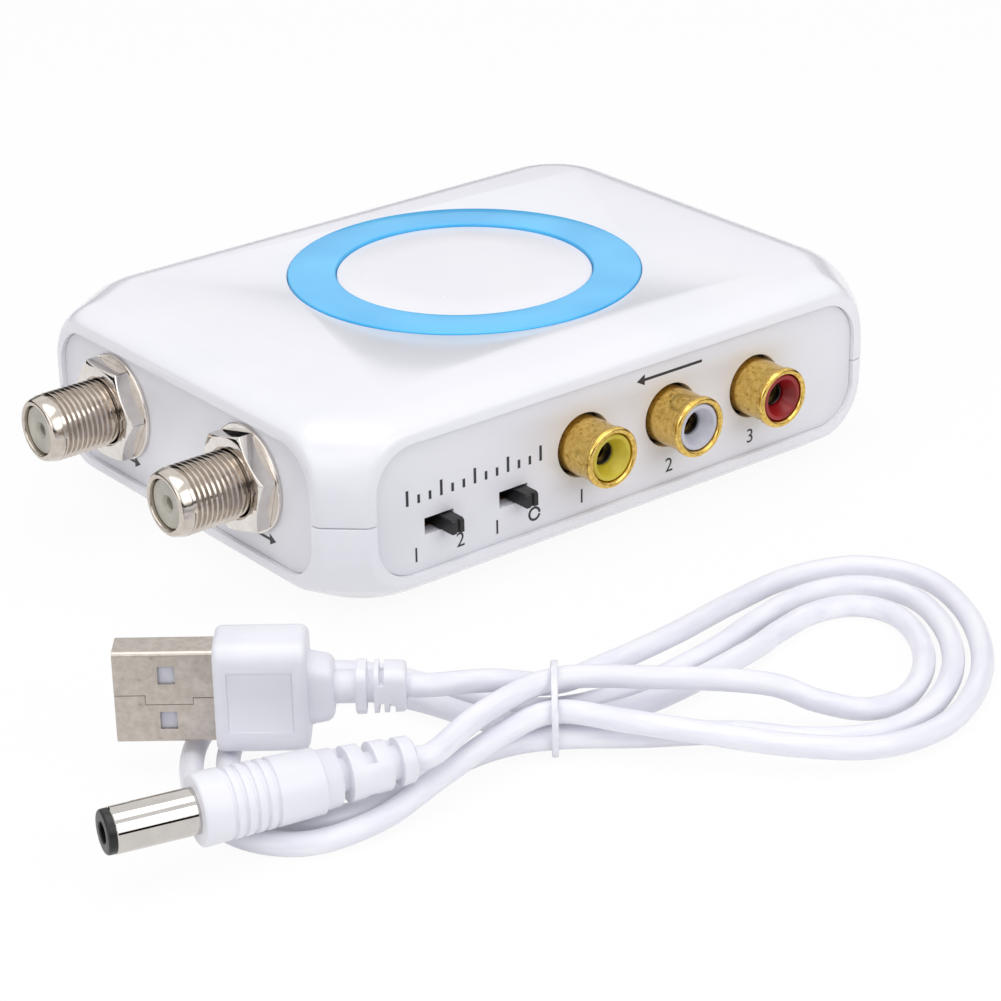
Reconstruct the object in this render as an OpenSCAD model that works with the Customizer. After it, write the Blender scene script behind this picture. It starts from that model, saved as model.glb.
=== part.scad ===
// RF modulator: a rounded plastic case with a lit ring on top, two threaded aerial
// sockets at its left end, three phono sockets and two slide switches in front, and
// its power lead lying tied in a hank before it.
// Millimetres. X runs along the front to the right, Y to the back, Z up.
// The origin is under the middle of the object, without its lead, on the surface it stands on.

/* [Case] */
// Length of the case, along X
case_l = 101.6; // [100:0.2:105]
// Width of the case, along Y
case_w = 76.8; // [75.4:0.2:80]
// Height of the case without its feet
case_h = 27.8; // [27.6:0.1:29]
// Height of the joint between the two halves
part_z = 14.6; // [13.6:0.1:15.2]
// Corner radius of the case seen from above
corner_r = 15.2; // [14.6:0.1:16]
// How far the rounding draws the top edge in
top_inset = 9.7; // [9:0.1:10.4]
// Height of the rounding at the top
top_round_h = 12.4; // [11.8:0.1:12.6]
// How far the rounding draws the bottom edge in
bottom_inset = 9; // [8.4:0.1:9.6]
// Height of the rounding at the bottom
bottom_round_h = 12.7; // [12:0.1:13]
// Thickness of the case's wall
wall = 2.2; // [1.9:0.1:2.3]
// Gap left between the two halves
part_gap = 0.15; // [0.1:0.05:0.3]

/* [Panels] */
// How far the panels' faces lie inside the case's length and width
panel_in = 1.2; // [1:0.1:1.4]
// How far the flat rim round each panel lies inside them
rim_in = 0.6; // [0.4:0.1:0.8]
// Width of that rim
rim_w = 0.9; // [0.6:0.1:1.1]
// Thickness of the part of a panel that fills the opening
panel_t = 1.2; // [1:0.1:1.4]
// Thickness of the flange that the case holds
flange_t = 1; // [0.8:0.1:1.1]
// How far the flange reaches past the opening
flange_w = 0.8; // [0.5:0.1:0.9]
// Height of the panels' lower edge above the case's bottom
panel_low = 5.8; // [5.6:0.1:6.2]
// How far the panels' upper edge lies below the case's top
panel_top = 3.4; // [3.2:0.1:3.8]
// Corner radius of the panels
panel_r = 6; // [4:0.5:7]
// Front panel's distance from the case's left end
front_left = 6.8; // [6.4:0.1:8]
// Front panel's distance from the case's right end
front_right = 10; // [8:0.5:12]
// End panel's distance from the case's front
end_front = 6.5; // [6.2:0.1:8]
// End panel's distance from the case's back
end_back = 10; // [8:0.5:12]
// Clearance round the panels
panel_fit = 0.1; // [0.05:0.05:0.2]

/* [Lit ring] */
// Outer radius of the ring
ring_outer_r = 25.3; // [24.6:0.1:25.6]
// Inner radius of the ring
ring_inner_r = 18.4; // [17.6:0.1:19]
// How far the ring stands above the cover
ring_proud = 0.25; // [0.1:0.05:0.5]
// Depth of its pocket in the cover
ring_pocket = 1.6; // [1.2:0.1:1.7]
// How far the centre disc lies below the cover's top
disc_sunk = 0.1; // [0:0.05:0.3]
// Clearance round the ring and the disc
ring_fit = 0.1; // [0.05:0.05:0.2]
// Ring centre's distance from the case's centre, along X and along Y
ring_shift = 0.6; // [0:0.1:1]
// Number of light sources under the ring
led_count = 12; // [6:1:12]

/* [Aerial sockets] */
// Radius of the thread, which is 3/8 inch across
f_thread_r = 4.7625; // [4.6:0.01:4.9]
// How far the sockets stand out of the end panel
f_reach = 13.4; // [11:0.1:15]
// Height of the sockets above the panels' middle
f_raise = 1.1; // [0.9:0.1:1.3]
// Size of the nuts across their flats
f_nut_af = 12.2; // [11.4:0.1:12.8]
// Thickness of the nuts
f_nut_t = 2.4; // [2:0.1:2.8]
// How far the washers' edges stay inside the panel's height
f_washer_in = 1.7; // [1.5:0.1:2]
// Thickness of the washers
f_washer_t = 0.6; // [0.4:0.1:0.8]
// Clearance round the sockets' barrels
f_fit = 0.15; // [0.1:0.05:0.25]

/* [Phono sockets] */
// Radius of a socket's barrel
rca_barrel_r = 4.1; // [4:0.01:4.2]
// Radius of its front lip
rca_lip_r = 4.31; // [4.25:0.01:4.4]
// How far the sockets stand out of the front panel
rca_reach = 6.1; // [5:0.1:8]
// Height of the sockets above the panels' middle
rca_raise = 0.6; // [0.4:0.1:0.8]
// Radius of their holes in the panel
rca_hole_r = 4.6; // [4.5:0.05:4.8]
// Clearance between pieces that plug together
plug_fit = 0.1; // [0.05:0.05:0.15]

/* [Slide switches] */
// Width of a lever's slot in the panel
slot_w = 4.74; // [4.6:0.02:4.9]
// Height of the slot
slot_h = 2.34; // [2.3:0.02:2.5]
// Height of the slots above the board that the switches stand on
slot_over_board = 4.5; // [4.3:0.1:4.7]
// Width and height of a lever
lever_w = 2; // [1.8:0.05:2.05]
// How far the levers stand out of the front panel
lever_reach = 2.8; // [2:0.1:3.5]
// Travel of a lever
lever_travel = 2; // [1.8:0.05:2]

/* [Main board] */
// Thickness of the board
board_t = 1.6; // [1.2:0.1:1.6]
// Height of the board above the case's bottom
board_height = 5.8; // [5.6:0.1:5.8]
// Radius of the bosses that hold the halves together
boss_r = 3.2; // [3:0.1:3.4]
// Bosses' distance from the case's ends
boss_in_x = 13.3; // [13:0.1:13.6]
// Bosses' distance from the case's front and back
boss_in_y = 11.4; // [11:0.1:11.8]
// Radius of the case screws' shanks
screw_r = 1.3; // [1.1:0.1:1.4]
// Clearance round a screw's shank
screw_fit = 0.1; // [0.05:0.05:0.15]

/* [Power inlet] */
// Radius of the plug that the inlet takes
inlet_plug_r = 2.75; // [2.6:0.05:2.8]
// Radius of the inlet's centre pin
inlet_pin_r = 1.05; // [0.8:0.05:1.1]
// Inlet's distance from the case's right end
inlet_in = 22.8; // [22.2:0.1:23.2]
// Radius of its hole in the case
inlet_hole_r = 4; // [3.6:0.1:4.4]

/* [Feet] */
// Radius of a rubber foot
foot_r = 4; // [3:0.1:4.4]
// How far the feet stand below the case
foot_proud = 0.5; // [0.3:0.1:1]
// Depth of a foot's recess
foot_recess = 0.5; // [0.3:0.1:0.8]

/* [Lead] */
// Thickness of the cord
cord_d = 2.9; // [2.7:0.05:2.95]
// Width of the wire tie round the hank
tie_w = 0.8; // [0.6:0.1:0.9]
// Thickness of that tie
tie_t = 0.45; // [0.4:0.05:0.5]

/* [Hidden] */

$fn = 48;
// Overrun of every cut past the face that it opens
over = 0.5;
// Sides of the round pieces that a hull blends
hull_sides = 32;
// Steps along each rounding of the case's section
arc_steps = 8;

// The case's centre stands where the sockets' reach puts the whole object's middle at zero
case_x = (f_reach - panel_in) / 2;
case_y = (rca_reach - panel_in) / 2;

// Inner corner outline of a rounding: how far it is drawn in at a height from its start
function drawn_in(inset, round_h, rise) =
    inset * (1 - sqrt(max(0, 1 - pow(max(0, rise) / round_h, 2))));
// How far the inner wall lies inside the case's length and width at a height
function inner_in(z) = wall + (z < bottom_round_h
    ? drawn_in(bottom_inset - wall, bottom_round_h - wall, bottom_round_h - z)
    : drawn_in(top_inset - wall, top_round_h - wall, z - (case_h - top_round_h)));

// Panels
front_w = case_l - front_left - front_right;
front_x = (front_left - front_right) / 2;
end_w = case_w - end_front - end_back;
end_y = (end_front - end_back) / 2;
panel_high = case_h - panel_top;
panel_h = panel_high - panel_low;
panel_z = (panel_high + panel_low) / 2;
panel_back = panel_in + panel_t + flange_t;

// Lit ring and its board
ring_floor_t = 1.4;
ring_pad_w = 1.7;
ring_wall_t = 0.8;
light_hole_r = 1.5;
led_r = (ring_outer_r + ring_inner_r) / 2;
light_gap = 1;
light_board_t = 1;
light_board_inner_r = 14;
light_board_edge = 1.2;
light_pad_z = case_h - ring_pocket - ring_floor_t;
light_board_top = light_pad_z - light_gap;
led_w = 2;
led_h = 0.8;
post_r = 2;
post_ring_r = 16.6;
post_count = 3;
small_screw_r = 0.7;
small_head_r = 1.5;
small_head_t = 0.9;
small_bite = 1.8;

// Main board
board_gap = 0.5;
board_in = inner_in(board_height) + board_gap;
board_l = case_l - 2 * board_in;
board_w = case_w - 2 * board_in;
board_r = corner_r - board_in;
board_top = board_height + board_t;
boss_gap = 0.4;
standoff_r = 2.5;
board_screw_r = 1;
board_screw_head_r = 2;
board_screw_head_t = 1.2;
board_screw_bite = 2.6;
// The first standoff's distance from the can, and its place as a share of half the board's width
standoff_off = 4.2;
standoff_y_share = -0.66;
// The other standoffs, as shares of half the board's length and width
standoff_shares = [[-0.26, 0.85], [0.34, 0.85], [0.88, -0.23]];

// Case screws
head_r = 2.6;
head_t = 1.8;
head_fit = 0.3;
head_seat = 6;
pilot_up = 8;
screw_spare = 1;

// Aerial sockets, as shares of the end panel's width from its front edge
f_shares = [0.7662, 0.2421];
f_y = [for (share = f_shares) end_front + share * end_w - case_w / 2];
f_pitch = f_y[0] - f_y[1];
f_pair_y = (f_y[0] + f_y[1]) / 2;
f_height = panel_z + f_raise;
f_washer_r = panel_h / 2 - f_washer_in;
f_root_r = 4.45;
f_bore_r = 3.5;
f_recess = 0.6;
f_chamfer = 0.6;
f_slot_r = 0.9;
f_flange_r = 6;
f_flange_t = 0.8;
f_flange_gap = 0.3;
f_tail = 3;
f_contact_over = 2;
f_contact_in = 1.2;
f_nut_turns = [0, 14];

// Shielding can
can_gap = 1.5;
can_l = 18;
can_wall = 0.5;
can_over_f = 6;
can_lid_t = 0.5;
can_skirt = 1;
can_fit = 0.1;
can_margin_y = 5;
can_room = 0.15;
can_w = f_pitch + 2 * can_margin_y;
can_top = f_height + can_over_f - can_lid_t;
// The can stands behind the end panel, and further in where the case's rounding needs its lid to
can_in = max(panel_back + can_gap, inner_in(can_top + can_lid_t) + can_fit + can_wall + can_room);
can_left = can_in - case_l / 2;
can_x = can_left + can_l / 2;
// How far the aerial sockets reach in behind the end panel's face
f_inner_l = can_in - panel_in + can_wall + f_tail;

// Parts in the can and on the board
chip_l = 10;
chip_w = 4;
chip_h = 1.6;
chip_leg = 1;
chip_legs = 8;
chip_leg_w = 0.5;
chip_leg_t = 0.25;
coil_w = 5;
coil_h = 6;
coil_slug_r = 1.4;
coil_slug_t = 0.4;
crystal_l = 10;
crystal_w = 4;
crystal_h = 3.4;
crystal_round = 1.8;
crystal_base_t = 0.4;
cap_r = 2.5;
cap_h = 7;
cap_base_t = 0.6;
cap_base_w = 0.4;
// Capacitors, as shares of half the board's length and width
cap_shares = [[-0.38, 0.1], [-0.2, 0.1], [0.12, -0.2], [0.3, 0.5]];
regulator_l = 6.5;
regulator_w = 6;
regulator_h = 2.3;
regulator_tab = 3;
regulator_tab_t = 0.6;
regulator_leg = 2.4;
// Regulator's place, as shares of half the board's length and width
regulator_share = [0.05, 0.62];
header_w = 2.5;
header_pitch = 2.54;

// Phono sockets, as shares of the front panel's width from its left edge
phono_shares = [0.4139, 0.5967, 0.7795];
phono_x = [for (share = phono_shares) front_left + share * front_w - case_l / 2];
rca_height = panel_z + rca_raise;
rca_gap = 0.1;
rca_block_side = 5.5;
rca_block_deep = 12;
rca_block_over = 4.6;
rca_socket_deep = 2;
rca_block_in = rca_gap + max(panel_back, inner_in(board_top), inner_in(rca_height + rca_block_over));
// How far the sockets reach in behind the front panel's face
rca_back = rca_block_in - panel_in + rca_socket_deep;
rca_bore_r = 3.4;
rca_neck_r = 4;
rca_lip_l = 1.2;
rca_lip_round = 0.35;
rca_front_back = 0.3;
rca_funnel_r = 2.7;
rca_funnel_d = 1.7;
rca_hole = 1.7;
rca_contact_bore = 1.1;
rca_contact_back = 3.2;

// Slide switches, as shares of the front panel's width from its left edge: channel, power
slot_shares = [0.1226, 0.2689];
slot_x = [for (share = slot_shares) front_left + share * front_w - case_l / 2];
slot_height = board_top + slot_over_board;
switch_gap = 0.3;
frame_l = 8.4;
frame_deep = 4.2;
frame_over = 2.2;
frame_wall = 0.4;
slide_gap = 0.15;
carriage_l = 4;
carriage_deep = 1.1;
base_ledge = 1.4;
lever_groove = 0.25;

// Power inlet
jack_w = 9;
jack_deep = 14;
jack_h = 11;
jack_axis = 6.5;
jack_gap = 0.3;
jack_bore_fit = 0.35;
jack_bore_deep = 10;
jack_pin_l = 9;
jack_pin_tip = 0.4;
jack_in = jack_gap + max(inner_in(board_top), inner_in(board_top + jack_h));
inlet_x = case_l / 2 - inlet_in;
inlet_z = board_top + jack_axis;

// Rubber feet, inside the case's ends and sides
foot_in_x = 19.8;
foot_in_y = 18.4;

// Lead: its tie's place and the turn of its run
lead_x = -39.6;
lead_y = -72.8;
lead_turn = -38.7;
cord_r = cord_d / 2;

// Plug that goes into a computer's socket, standing on its narrow edge
usb_shell_l = 11.9;
usb_shell_h = 12;
usb_shell_w = 4.5;
usb_shell_t = 0.35;
usb_window_l = 2;
usb_window_h = 2.3;
usb_window_at = 6;
usb_window_in = 4.6;
usb_tongue_w = 1.8;
usb_tongue_in = 0.8;
usb_contact_w = 1;
usb_contact_t = 0.2;
usb_contact_count = 4;
usb_contact_pitch = 2.3;
usb_body_l = 11;
usb_body_h = 14.4;
usb_body_w = 8;
usb_body_r = 2;
usb_grip_in = 2;
usb_grip_deep = 0.35;
usb_shoulder_l = 3;
usb_shoulder_h = 8.3;
usb_shoulder_w = 5.6;
usb_neck_l = 2.5;
usb_neck_r = 2;
usb_relief_l = 6;
usb_relief_h = 6;
usb_relief_w = 5;
usb_relief_ribs = 3;
usb_relief_slot = 0.9;
usb_relief_core_r = 1.9;
usb_exit = [-17.5, -3.7, 10.4];
// The plug's stretches, from the cord's exit forwards
usb_neck_at = usb_relief_l;
usb_shoulder_at = usb_neck_at + usb_neck_l;
usb_body_at = usb_shoulder_at + usb_shoulder_l;
usb_shell_at = usb_body_at + usb_body_l;

// Plug that goes into the case's inlet
dc_barrel_r = inlet_plug_r;
dc_barrel_l = 10.8;
dc_tip_l = 1.8;
dc_tip_step = 0.1;
dc_bore_fit = 0.2;
dc_bore_deep = 8;
dc_body_r = 4.3;
dc_body_end_r = 3.9;
dc_body_l = 14.9;
dc_groove_at = 3.4;
dc_groove_pitch = 1.3;
dc_groove_w = 0.5;
dc_groove_deep = 0.3;
dc_grooves = 5;
dc_relief_l = 11.5;
dc_relief_r = 3.6;
dc_relief_end_r = 2.75;
dc_relief_core_r = 2;
dc_relief_ribs = 4;
dc_relief_slot = 1.3;
dc_tip = [-50.5, -31.5, 7.5];
dc_way = [0.909, 0.417, 0];
dc_total = dc_barrel_l + dc_body_l + dc_relief_l;

// The hank's strands where the tie holds them: three columns in two layers, one strand on top
tie_lift = 0.95;
tie_fit = 0.45;
waist_step = 3.55;
waist_far = 4.6;
waist_mid = 1;
waist_near = -2.6;
waist_low = cord_r + tie_lift;
waist_high = waist_low + waist_step;
waist_top = 8.4;
// Outermost loop to the right of the tie, from its far side round to its near side
right_loop = [[15.5, 20.5], [23.5, 31.5], [32, 41], [41.5, 44.5], [50, 40], [54, 28.5],
    [53.5, 14.5], [48, 1.5], [39, -6], [28.5, -7.5], [17.5, -6]];
right_middle = [36.5, 17];
// Outermost loop to the left of the tie, from its near side round to its far side
left_loop = [[-13.5, -13.5], [-20.5, -20.5], [-29, -24.5], [-37.5, -21.5], [-42.5, -11.5],
    [-43, 0], [-39, 10.5], [-31, 16.5], [-22, 16], [-13.5, 11.5]];
left_middle = [-24.5, -4];
// Sizes of the loops that lie inside the outermost ones, as shares of those
loop_shares = [1, 1, 0.79, 0.77, 0.58];
// Where each loop leaves the waist and comes back to it: [across, height]
loop_starts = [[waist_far, waist_high], [waist_near, waist_high], [waist_far, waist_low],
    [waist_near, waist_low], [waist_mid, waist_low]];
loop_ends = [[waist_near, waist_high], [waist_far, waist_low], [waist_near, waist_low],
    [waist_mid, waist_low], [waist_mid, waist_top]];
// Shares of a loop in which it comes down from the waist and climbs back
fall_shares = [0.34, 0.3, 0.3, 0.3, 0.3];
climb_shares = [0.42, 0.2, 0.3, 0.3, 0.36];
// Bow of each loop's way out of the waist and back into it
bows_out = [-1.2, 1.2, -2.6, 1.9, -3.4];
bows_back = [-0.3, -0.8, -0.3, -2.2, 0.2];
way_share = 0.47;
first_back_share = 0.5;
// Points between the waist and the two plugs
usb_bend = [-7.5, 0.6, 8.6];
dc_bend = [-8.5, -7, 8.4];
loop_rings = 24;
cord_sides = 6;
lead_steps = 3;

function ease(t) = let (u = max(0, min(1, t))) u * u * (3 - 2 * u);
function is_right(i) = i % 2 == 0;
function outline(i) = is_right(i) ? right_loop : left_loop;
function middle(i) = is_right(i) ? right_middle : left_middle;
function shrunk(i) = [for (p = outline(i)) middle(i) + (p - middle(i)) * loop_shares[i]];
function way_point(share, from, to, bow) = [to[0] * share, from[0] + (to[1] - from[0]) * share + bow];
function flat_loop(i) = let (s = shrunk(i), a = loop_starts[i], b = loop_ends[i])
    concat([way_point(way_share, a, s[0], bows_out[i])], s,
        [way_point(i == 0 ? first_back_share : way_share, b, s[len(s) - 1], bows_back[i])]);
function height(i, t) = cord_r
    + (loop_starts[i][1] - cord_r) * (1 - ease(t / fall_shares[i]))
    + (loop_ends[i][1] - cord_r) * (1 - ease((1 - t) / climb_shares[i]));
function loop_points(i) = let (f = flat_loop(i), n = len(f))
    concat([[0, loop_starts[i][0], loop_starts[i][1]]],
        [for (k = [0 : n - 1]) [f[k][0], f[k][1], height(i, (k + 1) / (n + 1))]]);
function unit(v) = v / norm(v);

dc_dir = unit(dc_way);
dc_exit = dc_tip + dc_dir * dc_total;
loops = [for (i = [0 : 4]) loop_points(i)];
route = concat(
    [usb_exit - [cord_d, 0, 0], usb_exit, usb_exit + [cord_d, 0, 0], usb_bend],
    [for (l = loops) for (p = l) p],
    [[0, waist_mid, waist_top], dc_bend, dc_exit + dc_dir * cord_d, dc_exit,
        dc_exit - dc_dir * cord_d]);
function spline(i, t) = let (a = route[i - 1], b = route[i], c = route[i + 1], d = route[i + 2])
    (2 * b + (c - a) * t + (2 * a - 5 * b + 4 * c - d) * t * t + (3 * b - a - 3 * c + d) * t * t * t) / 2;
function at(g) = let (i = min(floor(g), len(route) - 3)) spline(i, g - i);
// Place along the route at which each loop starts
function loop_start(i) = i == 0 ? 4 : loop_start(i - 1) + len(loops[i - 1]);
loops_end = loop_start(5);
ring_places = concat(
    [1],
    [for (g = [2, 3]) for (k = [0 : lead_steps - 1]) g + k / lead_steps],
    [for (i = [0 : 4]) for (k = [0 : loop_rings - 1]) loop_start(i) + k * len(loops[i]) / loop_rings],
    [for (g = [loops_end, loops_end + 1]) for (k = [0 : lead_steps - 1]) g + k / lead_steps],
    [loops_end + 2, loops_end + 3]);
ring_centres = [for (g = ring_places) at(g)];
ring_count = len(ring_centres);
function run_at(k) = unit(k == 0 || k == 1 ? [1, 0, 0]
    : k >= ring_count - 2 ? -dc_dir : ring_centres[k + 1] - ring_centres[k - 1]);
cord_length = [for (k = 1, s = 0; k <= ring_count;
    s = s + (k < ring_count ? norm(ring_centres[k] - ring_centres[k - 1]) : 0), k = k + 1) s][ring_count - 1];
// Least gap between the cord's surface and itself, past the stretch that a bend takes
apart_rings = 5;
least_gap = min([for (i = [0 : ring_count - 1]) for (j = [i + apart_rings : 1 : ring_count - 2])
    let (a = ring_centres[j], b = ring_centres[j + 1], p = ring_centres[i],
        t = max(0, min(1, (p - a) * (b - a) / ((b - a) * (b - a)))))
    norm(p - a - (b - a) * t)]) - cord_d;
echo(cord_length = cord_length, least_gap = least_gap);

// Places

module at_case() {
    translate([case_x, case_y, foot_proud])
        children();
}

module at_corners(in_x, in_y) {
    for (sx = [-1, 1])
        for (sy = [-1, 1])
            translate([sx * (case_l / 2 - in_x), sy * (case_w / 2 - in_y), 0])
                children();
}

// On the front panel's face, with the object's own axis along +Z pointing out of it
module on_front(x, z) {
    translate([x, panel_in - case_w / 2, z])
        rotate([90, 0, 0])
            children();
}

// On the end panel's face, the same way
module on_end(y, z) {
    translate([panel_in - case_l / 2, y, z])
        rotate([90, 0, -90])
            children();
}

module at_socket(k) {
    on_end(f_y[k], f_height)
        children();
}

module at_sockets() {
    for (k = [0, 1])
        at_socket(k)
            children();
}

module at_phono(k) {
    on_front(phono_x[k], rca_height)
        children();
}

module at_phonos() {
    for (k = [0 : 2])
        at_phono(k)
            children();
}

module at_standoffs() {
    translate([can_left + can_l + standoff_off, standoff_y_share * board_w / 2, 0])
        children();
    for (share = standoff_shares)
        translate([share[0] * board_l / 2, share[1] * board_w / 2, 0])
            children();
}

module at_lead() {
    translate([lead_x, lead_y, 0])
        rotate([0, 0, lead_turn])
            children();
}

// Shared shapes

module rounded_outline(l, w, r) {
    square([l - 2 * r, w], center = true);
    square([l, w - 2 * r], center = true);
    for (sx = [-1, 1])
        for (sy = [-1, 1])
            translate([sx * (l / 2 - r), sy * (w / 2 - r)])
                circle(r);
}

module rounded_bar(l, w, r, t) {
    linear_extrude(t)
        rounded_outline(l, w, r);
}

module ring(outer, inner, t) {
    difference() {
        cylinder(h = t, r = outer);
        translate([0, 0, -over])
            cylinder(h = t + 2 * over, r = inner);
    }
}

// A slab with the front panel's outline, from one depth behind the case's front to another
module front_slab(near, far, grow) {
    translate([front_x, far - case_w / 2, panel_z])
        rotate([90, 0, 0])
            rounded_bar(front_w + 2 * grow, panel_h + 2 * grow, panel_r + grow, far - near);
}

// The same for the end panel, from the case's left end
module end_slab(near, far, grow) {
    translate([far - case_l / 2, end_y, panel_z])
        rotate([90, 0, -90])
            rounded_bar(end_w + 2 * grow, panel_h + 2 * grow, panel_r + grow, far - near);
}

// One corner of the case, a skin's thickness inside its surface
module case_corner(skin) {
    r = corner_r - skin;
    foot = bottom_inset - skin;
    foot_h = bottom_round_h - skin;
    brow = top_inset - skin;
    brow_h = top_round_h - skin;
    low = [for (k = [0 : arc_steps]) let (a = 90 * k / arc_steps)
        [r - foot + foot * sin(a), skin + foot_h * (1 - cos(a))]];
    high = [for (k = [arc_steps : -1 : 0]) let (a = 90 * k / arc_steps)
        [r - brow + brow * sin(a), case_h - skin - brow_h * (1 - cos(a))]];
    rotate_extrude($fn = hull_sides)
        polygon(concat([[0, skin]], low, high, [[0, case_h - skin]]));
}

module case_outside() {
    hull() {
        at_corners(corner_r, corner_r)
            case_corner(0);
        front_slab(rim_in, rim_in + rim_w, rim_w, $fn = hull_sides);
        end_slab(rim_in, rim_in + rim_w, rim_w, $fn = hull_sides);
    }
}

module case_inside() {
    hull()
        at_corners(corner_r, corner_r)
            case_corner(wall);
}

// What both halves leave out for the panels, the sockets and the power inlet
module case_openings() {
    front_slab(-over, panel_in + panel_t, panel_fit);
    end_slab(-over, panel_in + panel_t, panel_fit);
    front_slab(panel_in + panel_t - panel_fit, panel_back + panel_fit, flange_w + panel_fit);
    end_slab(panel_in + panel_t - panel_fit, panel_back + panel_fit, flange_w + panel_fit);
    at_sockets()
        translate([0, 0, panel_in - can_in - over])
            cylinder(h = can_in - panel_back + 2 * over, r = f_flange_r + f_flange_gap);
    translate([inlet_x, case_w / 2 + over, inlet_z])
        rotate([90, 0, 0])
            cylinder(h = jack_in + over, r = inlet_hole_r);
}

module top_cover() color("whitesmoke") at_case() {
    big = case_l + case_w;
    difference() {
        union() {
            difference() {
                case_outside();
                case_inside();
                translate([-big / 2, -big / 2, part_z + part_gap / 2 - big])
                    cube(big);
            }
            translate([ring_shift, ring_shift, light_pad_z])
                cylinder(h = ring_floor_t + ring_pocket / 2, r = ring_outer_r + ring_pad_w);
            translate([ring_shift, ring_shift, light_board_top])
                for (k = [0 : post_count - 1])
                    rotate([0, 0, 90 + 360 * k / post_count])
                        translate([post_ring_r, 0, 0])
                            cylinder(h = light_gap + ring_floor_t / 2, r = post_r);
            at_corners(boss_in_x, boss_in_y)
                translate([0, 0, part_z + part_gap / 2])
                    cylinder(h = case_h - wall / 2 - part_z - part_gap / 2, r = boss_r);
        }
        case_openings();
        translate([ring_shift, ring_shift, 0]) {
            translate([0, 0, case_h - ring_pocket])
                ring(ring_outer_r + ring_fit, ring_inner_r - ring_wall_t, ring_pocket + over);
            translate([0, 0, case_h - ring_pocket])
                cylinder(h = ring_pocket + over, r = ring_inner_r);
            for (k = [0 : led_count - 1])
                rotate([0, 0, 360 * (k + 1 / 2) / led_count])
                    translate([led_r, 0, light_pad_z - over])
                        cylinder(h = ring_floor_t + 2 * over, r = light_hole_r);
            for (k = [0 : post_count - 1])
                rotate([0, 0, 90 + 360 * k / post_count])
                    translate([post_ring_r, 0, light_board_top - over])
                        cylinder(h = small_bite + over, r = small_screw_r + screw_fit);
        }
        at_corners(boss_in_x, boss_in_y)
            translate([0, 0, part_z - over])
                cylinder(h = pilot_up + over, r = screw_r + screw_fit);
    }
}

module bottom_case() color("white") at_case() {
    big = case_l + case_w;
    difference() {
        union() {
            difference() {
                case_outside();
                case_inside();
                translate([-big / 2, -big / 2, part_z - part_gap / 2])
                    cube(big);
            }
            at_corners(boss_in_x, boss_in_y)
                translate([0, 0, wall / 2])
                    cylinder(h = part_z - part_gap / 2 - wall / 2, r = boss_r);
            at_standoffs()
                translate([0, 0, wall / 2])
                    cylinder(h = board_height - wall / 2, r = standoff_r);
        }
        case_openings();
        at_corners(boss_in_x, boss_in_y) {
            translate([0, 0, -over])
                cylinder(h = head_seat + over, r = head_r + head_fit);
            cylinder(h = part_z + over, r = screw_r + screw_fit);
        }
        at_standoffs()
            translate([0, 0, board_height - board_screw_bite])
                cylinder(h = board_screw_bite + over, r = board_screw_r + screw_fit);
        at_corners(foot_in_x, foot_in_y)
            translate([0, 0, -over])
                cylinder(h = foot_recess + over, r = foot_r + panel_fit);
    }
}

module front_panel() color("ghostwhite") at_case() {
    difference() {
        union() {
            front_slab(panel_in, panel_in + panel_t + flange_t / 2, 0);
            front_slab(panel_in + panel_t, panel_back, flange_w);
        }
        at_phonos()
            translate([0, 0, panel_in - panel_back - over])
                cylinder(h = panel_back - panel_in + 2 * over, r = rca_hole_r);
        for (x = slot_x)
            on_front(x, slot_height)
                translate([-slot_w / 2, -slot_h / 2, panel_in - panel_back - over])
                    cube([slot_w, slot_h, panel_back - panel_in + 2 * over]);
    }
}

module end_panel() color("ghostwhite") at_case() {
    difference() {
        union() {
            end_slab(panel_in, panel_in + panel_t + flange_t / 2, 0);
            end_slab(panel_in + panel_t, panel_back, flange_w);
        }
        at_sockets()
            translate([0, 0, panel_in - panel_back - over])
                cylinder(h = panel_back - panel_in + 2 * over, r = f_thread_r + f_fit);
    }
}

module light_ring() color("deepskyblue") at_case()
    translate([ring_shift, ring_shift, case_h - ring_pocket])
        ring(ring_outer_r, ring_inner_r, ring_pocket + ring_proud);

module centre_disc() color("white") at_case()
    translate([ring_shift, ring_shift, case_h - ring_pocket])
        cylinder(h = ring_pocket - disc_sunk, r = ring_inner_r - ring_fit);

module light_board() color("darkgreen") at_case()
    translate([ring_shift, ring_shift, light_board_top - light_board_t])
        difference() {
            ring(ring_outer_r + light_board_edge, light_board_inner_r, light_board_t);
            for (k = [0 : post_count - 1])
                rotate([0, 0, 90 + 360 * k / post_count])
                    translate([post_ring_r, 0, -over])
                        cylinder(h = light_board_t + 2 * over, r = small_screw_r + screw_fit);
        }

module ring_leds() color("lightyellow") at_case()
    translate([ring_shift, ring_shift, light_board_top])
        for (k = [0 : led_count - 1])
            rotate([0, 0, 360 * (k + 1 / 2) / led_count])
                translate([led_r - led_w / 2, -led_w / 2, 0])
                    cube([led_w, led_w, led_h]);

module light_board_screws() color("silver") at_case()
    translate([ring_shift, ring_shift, light_board_top - light_board_t - small_head_t])
        for (k = [0 : post_count - 1])
            rotate([0, 0, 90 + 360 * k / post_count])
                translate([post_ring_r, 0, 0]) {
                    cylinder(h = small_head_t, r = small_head_r);
                    cylinder(h = small_head_t + light_board_t + small_bite - screw_fit, r = small_screw_r);
                }

module light_header() color("dimgray") at_case()
    translate([ring_shift + led_r - header_w / 2, ring_shift - header_pitch, board_top])
        cube([header_w, 2 * header_pitch, light_board_top - light_board_t - board_top]);

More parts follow.
